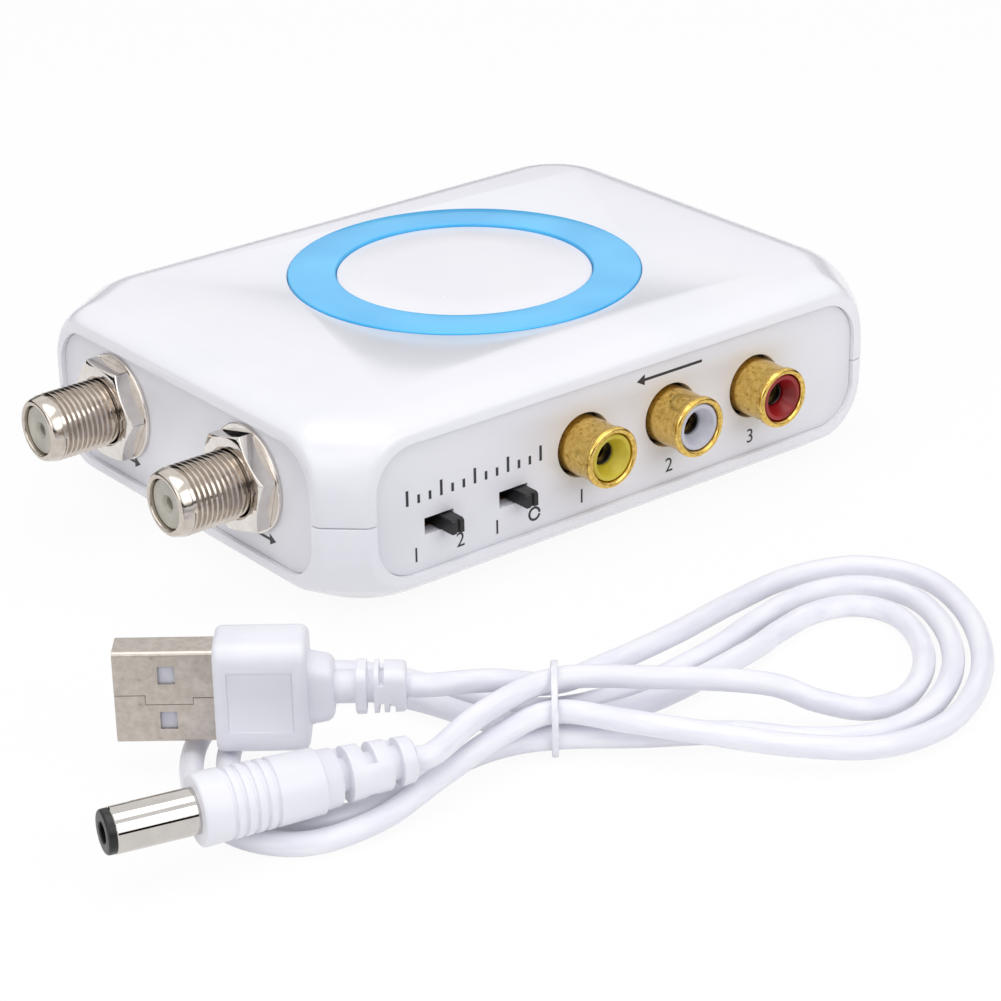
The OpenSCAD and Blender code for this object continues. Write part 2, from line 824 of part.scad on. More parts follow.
module main_board() color("green") at_case()
    difference() {
        translate([0, 0, board_height])
            rounded_bar(board_l, board_w, board_r, board_t);
        at_corners(boss_in_x, boss_in_y)
            translate([0, 0, board_height - over])
                cylinder(h = board_t + 2 * over, r = boss_r + boss_gap);
        at_standoffs()
            translate([0, 0, board_height - over])
                cylinder(h = board_t + 2 * over, r = board_screw_r + screw_fit);
    }

module board_screws() color("silver") at_case()
    at_standoffs() {
        translate([0, 0, board_top])
            cylinder(h = board_screw_head_t, r = board_screw_head_r);
        translate([0, 0, board_height - board_screw_bite + screw_fit])
            cylinder(h = board_t + board_screw_bite - screw_fit + board_screw_head_t / 2, r = board_screw_r);
    }

module rf_can() color("lightgray") at_case()
    difference() {
        translate([can_left, f_pair_y - can_w / 2, board_top])
            cube([can_l, can_w, can_top - board_top]);
        translate([can_left + can_wall, f_pair_y - can_w / 2 + can_wall, board_top - over])
            cube([can_l - 2 * can_wall, can_w - 2 * can_wall, can_top - board_top + 2 * over]);
        at_sockets()
            translate([0, 0, panel_in - can_in - can_wall - over])
                cylinder(h = can_wall + 2 * over, r = f_thread_r + f_fit);
    }

module rf_can_lid() color("gainsboro") at_case() {
    reach = can_fit + can_wall;
    translate([can_left - reach, f_pair_y - can_w / 2 - reach, can_top - can_skirt])
        difference() {
            cube([can_l + 2 * reach, can_w + 2 * reach, can_skirt + can_lid_t]);
            translate([can_wall, can_wall, -over])
                cube([can_l + 2 * can_fit, can_w + 2 * can_fit, can_skirt + over]);
        }
}

module modulator_chip() color("dimgray") at_case()
    translate([can_x, f_pair_y, board_top]) {
        translate([-chip_w / 2, -chip_l / 2, chip_leg_t])
            cube([chip_w, chip_l, chip_h]);
        for (side = [-1, 1])
            for (k = [0 : chip_legs - 1])
                translate([side * (chip_w + chip_leg) / 2,
                    (k + 1 / 2 - chip_legs / 2) * chip_l / chip_legs, 0])
                    translate([-chip_leg, -chip_leg_w / 2, 0])
                        cube([2 * chip_leg, chip_leg_w, 2 * chip_leg_t]);
    }

module tuning_coil() color("silver") at_case()
    translate([can_x, f_pair_y + can_w / 4, board_top]) {
        translate([-coil_w / 2, -coil_w / 2, 0])
            cube([coil_w, coil_w, coil_h]);
        cylinder(h = coil_h + coil_slug_t, r = coil_slug_r);
    }

module crystal() color("silver") at_case()
    translate([can_x, f_pair_y - can_w / 4, board_top]) {
        rounded_bar(crystal_l, crystal_w, crystal_round, crystal_base_t);
        rounded_bar(crystal_l - 2 * crystal_base_t, crystal_w - 2 * crystal_base_t,
            crystal_round - crystal_base_t, crystal_h);
    }

module capacitors() color("midnightblue") at_case()
    for (share = cap_shares)
        translate([share[0] * board_l / 2, share[1] * board_w / 2, board_top]) {
            translate([-cap_r - cap_base_w / 2, -cap_r - cap_base_w / 2, 0])
                cube([2 * cap_r + cap_base_w, 2 * cap_r + cap_base_w, cap_base_t]);
            cylinder(h = cap_h, r = cap_r);
        }

module regulator() color("dimgray") at_case()
    translate([regulator_share[0] * board_l / 2, regulator_share[1] * board_w / 2, board_top]) {
        translate([-regulator_l / 2, -regulator_w / 2, 0])
            cube([regulator_l, regulator_w, regulator_h]);
        translate([-regulator_l / 2, 0, 0])
            cube([regulator_l, regulator_w / 2 + regulator_tab, regulator_tab_t]);
        for (side = [-1, 1])
            translate([side * regulator_l / 3 - regulator_tab_t / 2, -regulator_w / 2 - regulator_leg, 0])
                cube([regulator_tab_t, regulator_w, regulator_tab_t]);
    }

// A threaded aerial socket's barrel, from its mouth to inside the can. Under its nut it is
// drawn at the thread's root, which the nut's thread fills
module f_barrel() {
    difference() {
        union() {
            translate([0, 0, -f_inner_l])
                cylinder(h = f_inner_l + f_reach - f_chamfer, r = f_root_r);
            translate([0, 0, f_washer_t + f_nut_t])
                cylinder(h = f_reach - f_chamfer - f_washer_t - f_nut_t, r = f_thread_r);
            translate([0, 0, f_reach - f_chamfer])
                cylinder(h = f_chamfer, r1 = f_thread_r, r2 = f_thread_r - f_chamfer);
            translate([0, 0, panel_in - panel_back - f_flange_t])
                cylinder(h = f_flange_t, r = f_flange_r);
        }
        translate([0, 0, -f_inner_l - over])
            cylinder(h = f_inner_l + f_reach + 2 * over, r = f_bore_r);
    }
}

module f_barrel_in() color("silver") at_case() at_socket(0) f_barrel();

module f_barrel_out() color("silver") at_case() at_socket(1) f_barrel();

module f_insulators() color("ivory") at_case()
    at_sockets()
        difference() {
            translate([0, 0, -f_inner_l])
                cylinder(h = f_inner_l + f_reach - f_recess, r = f_bore_r - plug_fit);
            translate([0, 0, -f_inner_l - over])
                cylinder(h = f_inner_l + f_reach + 2 * over, r = f_slot_r);
        }

module f_contacts() color("gold") at_case()
    at_sockets()
        translate([0, 0, -f_inner_l - f_contact_over])
            cylinder(h = f_inner_l + f_contact_over + f_reach - f_recess - f_contact_in,
                r = f_slot_r - plug_fit);

module f_nuts() color("lightgray") at_case()
    for (k = [0, 1])
        at_socket(k)
            translate([0, 0, f_washer_t])
                rotate([0, 0, f_nut_turns[k]])
                    difference() {
                        cylinder(h = f_nut_t, r = f_nut_af / sqrt(3), $fn = 6);
                        translate([0, 0, -over])
                            cylinder(h = f_nut_t + 2 * over, r = f_root_r + plug_fit);
                    }

module f_washers() color("darkgray") at_case()
    at_sockets()
        ring(f_washer_r, f_thread_r + f_fit, f_washer_t);

module rca_block() color("black") at_case() {
    block_l = phono_x[2] - phono_x[0] + 2 * rca_block_side;
    difference() {
        translate([phono_x[0] - rca_block_side, rca_block_in - case_w / 2, board_top])
            cube([block_l, rca_block_deep, rca_height + rca_block_over - board_top]);
        at_phonos()
            translate([0, 0, -rca_back])
                cylinder(h = rca_socket_deep + over, r = rca_barrel_r + plug_fit);
    }
}

// A phono socket's metal shell, from the block's socket to its rounded lip
module rca_shell() {
    lip = rca_reach - rca_lip_l;
    rotate_extrude()
        polygon(concat(
            [[rca_bore_r, -rca_back], [rca_barrel_r, -rca_back], [rca_barrel_r, 0],
                [rca_neck_r, lip - rca_lip_round], [rca_neck_r, lip]],
            [for (a = [-90 : 30 : 0]) [rca_lip_r + rca_lip_round * (cos(a) - 1),
                lip + rca_lip_round * (1 + sin(a))]],
            [for (a = [0 : 30 : 90]) [rca_lip_r + rca_lip_round * (cos(a) - 1),
                rca_reach - rca_lip_round * (1 - sin(a))]],
            [[rca_bore_r, rca_reach]]));
}

// The coloured insert in the shell, with its funnel and its hole
module rca_insert() {
    front = rca_reach - rca_front_back;
    rotate_extrude()
        polygon([[rca_hole, -rca_back], [rca_bore_r - plug_fit, -rca_back],
            [rca_bore_r - plug_fit, front], [rca_funnel_r, front], [rca_hole, front - rca_funnel_d]]);
}

module rca_shell_video() color("gold") at_case() at_phono(0) rca_shell();

module rca_shell_left() color("gold") at_case() at_phono(1) rca_shell();

module rca_shell_right() color("gold") at_case() at_phono(2) rca_shell();

module rca_insert_video() color("yellow") at_case() at_phono(0) rca_insert();

module rca_insert_left() color("white") at_case() at_phono(1) rca_insert();

module rca_insert_right() color("red") at_case() at_phono(2) rca_insert();

module rca_contacts() color("goldenrod") at_case()
    at_phonos()
        translate([0, 0, -rca_back])
            ring(rca_hole - plug_fit, rca_contact_bore,
                rca_back + rca_reach - rca_front_back - rca_contact_back);

// A slide switch's metal frame, standing on the board behind its slot
module switch_frame(x) {
    window = lever_w + 2 * slide_gap;
    front = panel_back + switch_gap - case_w / 2;
    top = slot_height + frame_over;
    translate([x, front, 0])
        difference() {
            translate([-frame_l / 2, 0, board_top])
                cube([frame_l, frame_deep, top - board_top]);
            translate([frame_wall - frame_l / 2, frame_wall, board_top - over])
                cube([frame_l - 2 * frame_wall, frame_deep - 2 * frame_wall,
                top - frame_wall - board_top + over]);
            translate([-(window + lever_travel) / 2, -over, slot_height - window / 2])
                cube([window + lever_travel, frame_wall + 2 * over, window]);
        }
}

// The moulded base inside the frame, with a ledge that the lever's foot slides on
module switch_base(x) {
    front = panel_back + switch_gap - case_w / 2 + frame_wall;
    inner_l = frame_l - 2 * frame_wall - 2 * plug_fit;
    inner_deep = frame_deep - 2 * frame_wall - plug_fit;
    foot_deep = carriage_deep + 2 * slide_gap;
    high = slot_height + frame_over - frame_wall - plug_fit;
    translate([x, front, 0]) {
        translate([-inner_l / 2, plug_fit, board_top])
            cube([inner_l, inner_deep - plug_fit / 2, base_ledge]);
        translate([-inner_l / 2, foot_deep, board_top])
            cube([inner_l, inner_deep - foot_deep + plug_fit / 2, high - board_top]);
    }
}

// The lever at the right end of its travel, where the photograph shows both
module switch_lever(x) {
    front = panel_back + switch_gap - case_w / 2 + frame_wall + slide_gap;
    tip = panel_in - lever_reach - case_w / 2;
    low = board_top + base_ledge + slide_gap;
    high = slot_height + frame_over - frame_wall - slide_gap;
    translate([x + lever_travel / 2, 0, 0]) {
        difference() {
            translate([-lever_w / 2, tip, slot_height - lever_w / 2])
                cube([lever_w, front - tip + carriage_deep / 2, lever_w]);
            translate([-lever_groove, tip - over, slot_height - lever_w])
                cube([2 * lever_groove, over + lever_groove, 2 * lever_w]);
        }
        translate([-carriage_l / 2, front, low])
            cube([carriage_l, carriage_deep, high - low]);
    }
}

module channel_switch_frame() color("darkgoldenrod") at_case() switch_frame(slot_x[0]);

module channel_switch_base() color("saddlebrown") at_case() switch_base(slot_x[0]);

module channel_lever() color("black") at_case() switch_lever(slot_x[0]);

module power_switch_frame() color("darkgoldenrod") at_case() switch_frame(slot_x[1]);

module power_switch_base() color("saddlebrown") at_case() switch_base(slot_x[1]);

module power_lever() color("black") at_case() switch_lever(slot_x[1]);

module dc_jack_body() color("black") at_case() {
    face = case_w / 2 - jack_in;
    difference() {
        translate([inlet_x - jack_w / 2, face - jack_deep, board_top])
            cube([jack_w, jack_deep, jack_h]);
        translate([inlet_x, face + over, inlet_z])
            rotate([90, 0, 0])
                cylinder(h = jack_bore_deep + over, r = inlet_plug_r + jack_bore_fit);
    }
}

module dc_jack_pin() color("silver") at_case()
    translate([inlet_x, case_w / 2 - jack_in - jack_bore_deep, inlet_z])
        rotate([-90, 0, 0]) {
            cylinder(h = jack_pin_l - jack_pin_tip, r = inlet_pin_r);
            translate([0, 0, jack_pin_l - jack_pin_tip])
                cylinder(h = jack_pin_tip, r1 = inlet_pin_r, r2 = inlet_pin_r - jack_pin_tip);
        }

module cover_screws() color("silver") at_case()
    at_corners(boss_in_x, boss_in_y) {
        translate([0, 0, head_seat - head_t])
            cylinder(h = head_t, r = head_r);
        translate([0, 0, head_seat - head_t / 2])
            cylinder(h = part_z + pilot_up - screw_spare - head_seat + head_t / 2, r = screw_r);
    }

module rubber_feet() color("dimgray")
    translate([case_x, case_y, 0])
        at_corners(foot_in_x, foot_in_y)
            cylinder(h = foot_proud + foot_recess, r = foot_r);

// In front of the computer plug's exit, with +Z of the piece pointing back along its run
module at_usb(back) {
    at_lead()
        translate(usb_exit - [back, 0, 0])
            rotate([90, 0, -90])
                children();
}

module usb_shell() color("silver") at_usb(usb_shell_at)
    difference() {
        rounded_bar(usb_shell_w, usb_shell_h, usb_shell_t, usb_shell_l);
        translate([usb_shell_t - usb_shell_w / 2, usb_shell_t - usb_shell_h / 2, usb_shell_t])
            cube([usb_shell_w - 2 * usb_shell_t, usb_shell_h - 2 * usb_shell_t, usb_shell_l]);
        for (side = [-1, 1])
            translate([-usb_shell_w, side * usb_window_at / 2 - usb_window_h / 2, usb_window_in])
                cube([2 * usb_shell_w, usb_window_h, usb_window_l]);
    }

module usb_tongue() color("white") at_usb(usb_shell_at)
    translate([usb_shell_w / 2 - usb_shell_t - plug_fit - usb_tongue_w,
        usb_shell_t + plug_fit - usb_shell_h / 2, usb_shell_t])
        cube([usb_tongue_w, usb_shell_h - 2 * usb_shell_t - 2 * plug_fit,
            usb_shell_l - usb_tongue_in - usb_shell_t]);

module usb_contacts() color("gold") at_usb(usb_shell_at)
    for (k = [0 : usb_contact_count - 1])
        translate([usb_shell_w / 2 - usb_shell_t - plug_fit - usb_tongue_w - usb_contact_t,
            (k + 1 / 2 - usb_contact_count / 2) * usb_contact_pitch - usb_contact_w / 2, usb_shell_t])
            cube([usb_contact_t, usb_contact_w, usb_shell_l - 2 * usb_tongue_in - usb_shell_t]);

module usb_overmould() color("white") {
    at_usb(usb_body_at)
        difference() {
            rounded_bar(usb_body_w, usb_body_h, usb_body_r, usb_body_l);
            for (side = [-1, 1])
                translate([side * usb_body_w / 2 - usb_grip_deep, usb_grip_in - usb_body_h / 2, usb_grip_in])
                    cube([2 * usb_grip_deep, usb_body_h - 2 * usb_grip_in, usb_body_l - 2 * usb_grip_in]);
        }
    at_usb(usb_shoulder_at)
        rounded_bar(usb_shoulder_w, usb_shoulder_h, usb_body_r, usb_shoulder_l);
    at_usb(usb_neck_at)
        cylinder(h = usb_neck_l, r = usb_neck_r);
    at_usb(0)
        cylinder(h = usb_relief_l, r = usb_relief_core_r);
    for (k = [0 : usb_relief_ribs - 1])
        at_usb(k * (usb_relief_l + usb_relief_slot) / usb_relief_ribs)
            rounded_bar(usb_relief_w, usb_relief_h, usb_body_r,
                (usb_relief_l + usb_relief_slot) / usb_relief_ribs - usb_relief_slot);
}

// On the power plug's axis, with +Z of the piece pointing from its tip to its cord
module at_dc(back) {
    at_lead()
        translate(dc_tip + dc_dir * back)
            rotate([0, 90, atan2(dc_dir[1], dc_dir[0])])
                children();
}

module dc_plug_barrel() color("silver") at_dc(dc_tip_l)
    difference() {
        cylinder(h = dc_barrel_l - dc_tip_l, r = dc_barrel_r);
        translate([0, 0, -over])
            cylinder(h = dc_bore_deep - dc_tip_l + over, r = inlet_pin_r + dc_bore_fit);
    }

module dc_plug_tip() color("black") at_dc(0)
    ring(dc_barrel_r - dc_tip_step, inlet_pin_r + dc_bore_fit, dc_tip_l);

module dc_overmould() color("white") {
    rib = (dc_relief_l - (dc_relief_ribs - 1) * dc_relief_slot) / dc_relief_ribs;
    at_dc(dc_barrel_l)
        difference() {
            cylinder(h = dc_body_l, r1 = dc_body_r, r2 = dc_body_end_r);
            for (k = [0 : dc_grooves - 1])
                translate([0, 0, dc_groove_at + k * dc_groove_pitch])
                    ring(dc_body_r + over, dc_body_end_r - dc_groove_deep, dc_groove_w);
        }
    at_dc(dc_barrel_l + dc_body_l)
        cylinder(h = dc_relief_l, r = dc_relief_core_r);
    for (k = [0 : dc_relief_ribs - 1])
        at_dc(dc_barrel_l + dc_body_l + k * (rib + dc_relief_slot))
            cylinder(h = rib, r1 = relief_r(k / dc_relief_ribs), r2 = relief_r((k + 1) / dc_relief_ribs));
}

function relief_r(share) = dc_relief_r + (dc_relief_end_r - dc_relief_r) * share;

// The cord, one unbroken tube from plug to plug through five loops
module lead_cord() color("white") at_lead() {
    points = [for (k = [0 : ring_count - 1])
        let (run = run_at(k), side = unit(cross([0, 0, 1], run)), up = cross(run, side))
        for (s = [0 : cord_sides - 1])
            let (a = 360 * s / cord_sides)
            ring_centres[k] + cord_r * (side * cos(a) + up * sin(a))];
    walls = [for (k = [0 : ring_count - 2]) for (s = [0 : cord_sides - 1])
        let (p = k * cord_sides + s, q = k * cord_sides + (s + 1) % cord_sides)
        for (f = [[p, p + cord_sides, q], [q, p + cord_sides, q + cord_sides]]) f];
    last = (ring_count - 1) * cord_sides;
    caps = [for (s = [1 : cord_sides - 2])
        for (f = [[0, s, s + 1], [last, last + s + 1, last + s]]) f];
    polyhedron(points = points, faces = concat(walls, caps));
}

// The wire tie's outline round the strands, a distance outside them
module tie_outline(grow) {
    hull()
        for (place = [[waist_far, waist_low], [waist_far, waist_high], [waist_near, waist_low],
            [waist_near, waist_high], [waist_mid, waist_top]])
            translate(place)
                circle(cord_r + grow, $fn = 24);
}

module lead_tie() color("white") at_lead()
    translate([-tie_w / 2, 0, 0])
        rotate([90, 0, 90])
            linear_extrude(tie_w)
                difference() {
                    tie_outline(tie_fit + tie_t);
                    tie_outline(tie_fit);
                }

top_cover();
bottom_case();
front_panel();
end_panel();
light_ring();
centre_disc();
light_board();
ring_leds();
light_board_screws();
light_header();
main_board();
board_screws();
rf_can();
rf_can_lid();
modulator_chip();
tuning_coil();
crystal();
capacitors();
regulator();
f_barrel_in();
f_barrel_out();
f_insulators();
f_contacts();
f_nuts();
f_washers();
rca_block();
rca_shell_video();
rca_shell_left();
rca_shell_right();
rca_insert_video();
rca_insert_left();
rca_insert_right();
rca_contacts();
channel_switch_frame();
channel_switch_base();
channel_lever();
power_switch_frame();
power_switch_base();
power_lever();
dc_jack_body();
dc_jack_pin();
cover_screws();
rubber_feet();
usb_shell();
usb_tongue();
usb_contacts();
usb_overmould();
dc_plug_barrel();
dc_plug_tip();
dc_overmould();
lead_cord();
lead_tie();
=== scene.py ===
# %% [markdown]
# # A television modulator and its power lead
# The object is a rounded white plastic case with a blue ring on its lid. Two threaded
# aerial sockets stand on its left end, three gold phono sockets and two slide switches in
# front. Its power lead lies before it, tied in a hank.
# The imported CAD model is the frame: every piece below is made in metres, where the CAD says.

# %% The frame
import math

import bpy
from mathutils import Matrix, Vector


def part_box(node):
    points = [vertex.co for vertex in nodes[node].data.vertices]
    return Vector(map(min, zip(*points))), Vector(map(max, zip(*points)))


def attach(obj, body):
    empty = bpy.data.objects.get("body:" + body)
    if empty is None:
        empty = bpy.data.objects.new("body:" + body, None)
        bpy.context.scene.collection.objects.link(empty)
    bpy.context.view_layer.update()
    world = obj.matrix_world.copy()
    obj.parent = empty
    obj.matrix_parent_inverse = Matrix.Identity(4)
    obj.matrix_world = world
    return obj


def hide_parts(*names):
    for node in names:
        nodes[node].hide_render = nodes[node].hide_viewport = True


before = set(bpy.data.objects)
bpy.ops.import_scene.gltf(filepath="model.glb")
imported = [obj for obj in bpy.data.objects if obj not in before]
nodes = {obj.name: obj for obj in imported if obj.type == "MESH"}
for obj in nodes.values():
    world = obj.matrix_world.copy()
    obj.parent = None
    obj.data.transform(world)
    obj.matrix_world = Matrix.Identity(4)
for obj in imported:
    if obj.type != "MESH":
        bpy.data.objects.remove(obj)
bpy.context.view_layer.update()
mm = 0.001

# %% [markdown]
# ## Camera
# The photograph is square and taken from the left, in front and above, with a long lens.
# The camera's place and aim were worked out from the case's edges, its ring and its sockets,
# so they are numbers here.
# A camera looks along its own -Z, so its matrix has right, up and backwards as its columns.

# %% Camera
camera_at = Vector((-244.03, -322.82, 182.46)) * mm
looks_along = Vector((0.5610, 0.7128, -0.4209)).normalized()
camera_roll = math.radians(-1.113)
sensor_mm = 36
focal_px, picture_px = 3061.1, 1001

level_right = looks_along.cross(Vector((0, 0, 1))).normalized()
level_up = level_right.cross(looks_along)
right = math.cos(camera_roll) * level_right + math.sin(camera_roll) * level_up
up = math.cos(camera_roll) * level_up - math.sin(camera_roll) * level_right
camera_data = bpy.data.cameras.new("camera")
camera_data.sensor_width = sensor_mm
camera_data.lens = sensor_mm * focal_px / picture_px
camera_data.clip_start = 0.01
camera = bpy.data.objects.new("camera", camera_data)
turn = Matrix((right, up, -looks_along)).transposed()
camera.matrix_world = Matrix.Translation(camera_at) @ turn.to_4x4()
bpy.context.scene.collection.objects.link(camera)
bpy.context.scene.camera = camera
print("lens", round(camera_data.lens, 2), "mm")

# %% [markdown]
# ## The lead's route
# The lead is one soft cord, wound over itself in five loops and tied in the middle. Its
# centre line goes through the same points as in the CAD source: a table of points for the
# outermost loop on each side, and smaller copies of it for the loops inside. Under the tie
# the strands lie far, in the middle and near, some low and some higher. Each loop falls from
# its first strand's height to the table and climbs to its last one's. The lengths here are
# in millimetres, and the shares are parts of a loop's size or of its way round.

# %% The lead's measures
lead_at = Vector((-39.6, -72.8, 0))
lead_turn = math.radians(-38.7)
lead_frame = Matrix.Translation(lead_at) @ Matrix.Rotation(lead_turn, 4, "Z")
cord_d = 2.9
cord_r = cord_d / 2
waist_far, waist_mid, waist_near = 4.6, 1, -2.6
waist_low, waist_high, waist_top = 2.4, 5.95, 8.4
right_loop = [(15.5, 20.5), (23.5, 31.5), (32, 41), (41.5, 44.5), (50, 40), (54, 28.5),
              (53.5, 14.5), (48, 1.5), (39, -6), (28.5, -7.5), (17.5, -6)]
right_middle = (36.5, 17)
left_loop = [(-13.5, -13.5), (-20.5, -20.5), (-29, -24.5), (-37.5, -21.5), (-42.5, -11.5),
             (-43, 0), (-39, 10.5), (-31, 16.5), (-22, 16), (-13.5, 11.5)]
left_middle = (-24.5, -4)
loop_shares = [1, 1, 0.79, 0.77, 0.58]
loop_starts = [(waist_far, waist_high), (waist_near, waist_high), (waist_far, waist_low),
               (waist_near, waist_low), (waist_mid, waist_low)]
loop_ends = [(waist_near, waist_high), (waist_far, waist_low), (waist_near, waist_low),
             (waist_mid, waist_low), (waist_mid, waist_top)]
fall_shares = [0.34, 0.3, 0.3, 0.3, 0.3]
climb_shares = [0.42, 0.2, 0.3, 0.3, 0.36]
bows_out = [-1.2, 1.2, -2.6, 1.9, -3.4]
bows_back = [-0.3, -0.8, -0.3, -2.2, 0.2]
way_share, first_back_share = 0.47, 0.5
usb_exit = Vector((-17.5, -3.7, 10.4))
usb_bend = Vector((-7.5, 0.6, 8.6))
dc_bend = Vector((-8.5, -7, 8.4))
dc_tip = Vector((-50.5, -31.5, 7.5))
dc_way = Vector((0.909, 0.417, 0)).normalized()
dc_total = 37.2
dc_exit = dc_tip + dc_way * dc_total
print("loops:", len(loop_shares))

# %% [markdown]
# A curve through the points, four at a time, gives a line without a corner anywhere. It
# runs from one plug to the other, and a point inside each plug makes it leave straight.

# %% The lead's centre line
def ease(t):
    """Goes smoothly from 0 to 1 as t does."""
    t = max(0, min(1, t))
    return t * t * (3 - 2 * t)


def loop_points(i):
    """The points of one loop, from the tie round and back to just before it."""
    outline, middle = (right_loop, right_middle) if i % 2 == 0 else (left_loop, left_middle)
    share = loop_shares[i]
    flat = [(middle[0] + (x - middle[0]) * share, middle[1] + (y - middle[1]) * share)
            for x, y in outline]
    (y0, z0), (y1, z1) = loop_starts[i], loop_ends[i]
    back_share = first_back_share if i == 0 else way_share
    out = (flat[0][0] * way_share, y0 + (flat[0][1] - y0) * way_share + bows_out[i])
    back = (flat[-1][0] * back_share, y1 + (flat[-1][1] - y1) * back_share + bows_back[i])
    flat = [out] + flat + [back]
    points = [Vector((0, y0, z0))]
    for k, (x, y) in enumerate(flat):
        t = (k + 1) / (len(flat) + 1)
        fall = (z0 - cord_r) * (1 - ease(t / fall_shares[i]))
        climb = (z1 - cord_r) * (1 - ease((1 - t) / climb_shares[i]))
        points.append(Vector((x, y, cord_r + fall + climb)))
    return points


ahead = Vector((cord_d, 0, 0))
route = [usb_exit - ahead, usb_exit, usb_exit + ahead, usb_bend]
for i in range(len(loop_shares)):
    route += loop_points(i)
route += [Vector((0, waist_mid, waist_top)), dc_bend, dc_exit + dc_way * cord_d, dc_exit,
          dc_exit - dc_way * cord_d]
curve_steps = 8
centre_line = []
for a, b, c, d in zip(route, route[1:], route[2:], route[3:]):
    for k in range(curve_steps):
        t = k / curve_steps
        centre_line.append((2 * b + (c - a) * t + (2 * a - 5 * b + 4 * c - d) * t * t
                            + (3 * b - a - 3 * c + d) * t * t * t) / 2)
centre_line.append(route[-2])
centre_line = [lead_frame @ p * mm for p in centre_line]

# %% [markdown]
# ## Helpers for modelling
# An operator acts on everything that is selected, and the CAD nodes come in selected, so each
# step starts by clearing the selection. Round pieces are turned like on a lathe: half of
# their outline is drawn and spun about the Z axis.

# %% Selecting, drawing and spinning
def only(piece):
    """Makes one object the selected and active one, in object mode."""
    if bpy.context.object and bpy.context.object.mode != "OBJECT":
        bpy.ops.object.mode_set(mode="OBJECT")
    bpy.ops.object.select_all(action="DESELECT")
    piece.select_set(True)
    bpy.context.view_layer.objects.active = piece


def opened(piece):
    """Opens a mesh for editing, with all of it selected."""
    only(piece)
    bpy.ops.object.mode_set(mode="EDIT")
    bpy.ops.mesh.select_all(action="SELECT")


def drawn(name, points, edges=(), faces=()):
    """A new object from points in millimetres."""
    mesh = bpy.data.meshes.new(name)
    mesh.from_pydata([Vector(p) * mm for p in points], list(edges), list(faces))
    piece = bpy.data.objects.new(name, mesh)
    bpy.context.scene.collection.objects.link(piece)
    return piece


def cleaned(piece):
    """Merges what lies together and turns all faces outwards."""
    opened(piece)
    bpy.ops.mesh.remove_doubles(threshold=1e-6)
    bpy.ops.mesh.delete_loose()
    bpy.ops.mesh.select_all(action="SELECT")
    bpy.ops.mesh.normals_make_consistent(inside=False)
    bpy.ops.object.mode_set(mode="OBJECT")
    return piece


def turned(name, outline, steps, angle=360):
    """Spins a closed outline of (radius, height) in millimetres about the Z axis.

    A part turn starts from a filled outline, so that both its ends are closed.
    """
    count = len(outline)
    ends = [(k, (k + 1) % count) for k in range(count)]
    points = [(r, 0, z) for r, z in outline]
    piece = drawn(name, points, ends) if angle == 360 else drawn(name, points, (), [range(count)])
    opened(piece)
    bpy.ops.mesh.spin(steps=steps, angle=math.radians(angle), center=(0, 0, 0), axis=(0, 0, 1))
    bpy.ops.object.mode_set(mode="OBJECT")
    return cleaned(piece)


def arc(centre, radius, start, end, steps=6):
    """Points of an arc in an outline, from one angle to another in degrees."""
    angles = [math.radians(start + (end - start) * k / steps) for k in range(steps + 1)]
    return [(centre[0] + radius * math.cos(a), centre[1] + radius * math.sin(a)) for a in angles]


print("helpers for new meshes ready")

# %% [markdown]
# A modifier is added and applied at once, so that the mesh is what it seems. Each finished
# mesh is moved to its place by a matrix, so that its object can stay at the origin.

# %% Joining, cutting and placing
def smooth(piece, degrees=30):
    """Shades a piece smooth, but for edges that turn by more than some degrees."""
    only(piece)
    bpy.ops.object.shade_smooth_by_angle(angle=math.radians(degrees))
    return piece


def joined(name, pieces):
    """Makes several objects one."""
    only(pieces[0])
    for piece in pieces[1:]:
        piece.select_set(True)
    bpy.ops.object.join()
    pieces[0].name = name
    pieces[0].data.name = name
    return pieces[0]


def applied(piece, kind, **settings):
    """Adds one modifier and applies it."""
    only(piece)
    modifier = piece.modifiers.new(kind.title(), kind)
    for key, value in settings.items():
        setattr(modifier, key, value)
    bpy.ops.object.modifier_apply(modifier=modifier.name)
    return piece


def softened(piece, width, limit):
    """Rounds all edges that turn by more than some degrees."""
    return applied(piece, "BEVEL", width=width * mm, segments=2, limit_method="ANGLE",
                   angle_limit=math.radians(limit))


def cut(piece, tool, operation="DIFFERENCE"):
    """Cuts a tool's shape out of a piece and throws the tool away."""
    applied(piece, "BOOLEAN", operation=operation, solver="EXACT", object=tool)
    bpy.data.objects.remove(tool)
    return piece


def placed(piece, place):
    """Moves a mesh by a matrix, with its object left at the origin."""
    piece.data.transform(place)
    return piece


def shifted(place):
    """The matrix that moves a mesh by some millimetres."""
    return Matrix.Translation(Vector(place) * mm)


def copied(piece, name):
    """A copy of an object with a mesh of its own."""
    twin = piece.copy()
    twin.data = piece.data.copy()
    twin.name = twin.data.name = name
    bpy.context.scene.collection.objects.link(twin)
    return twin


print("helpers for joining and cutting ready")

# %% [markdown]
# A bevel rounds an edge. It needs the right edges selected, and a function picks them here
# by where an edge's middle is and how its two faces turn. Moulds and presses leave such
# small radii everywhere, and they catch the light.

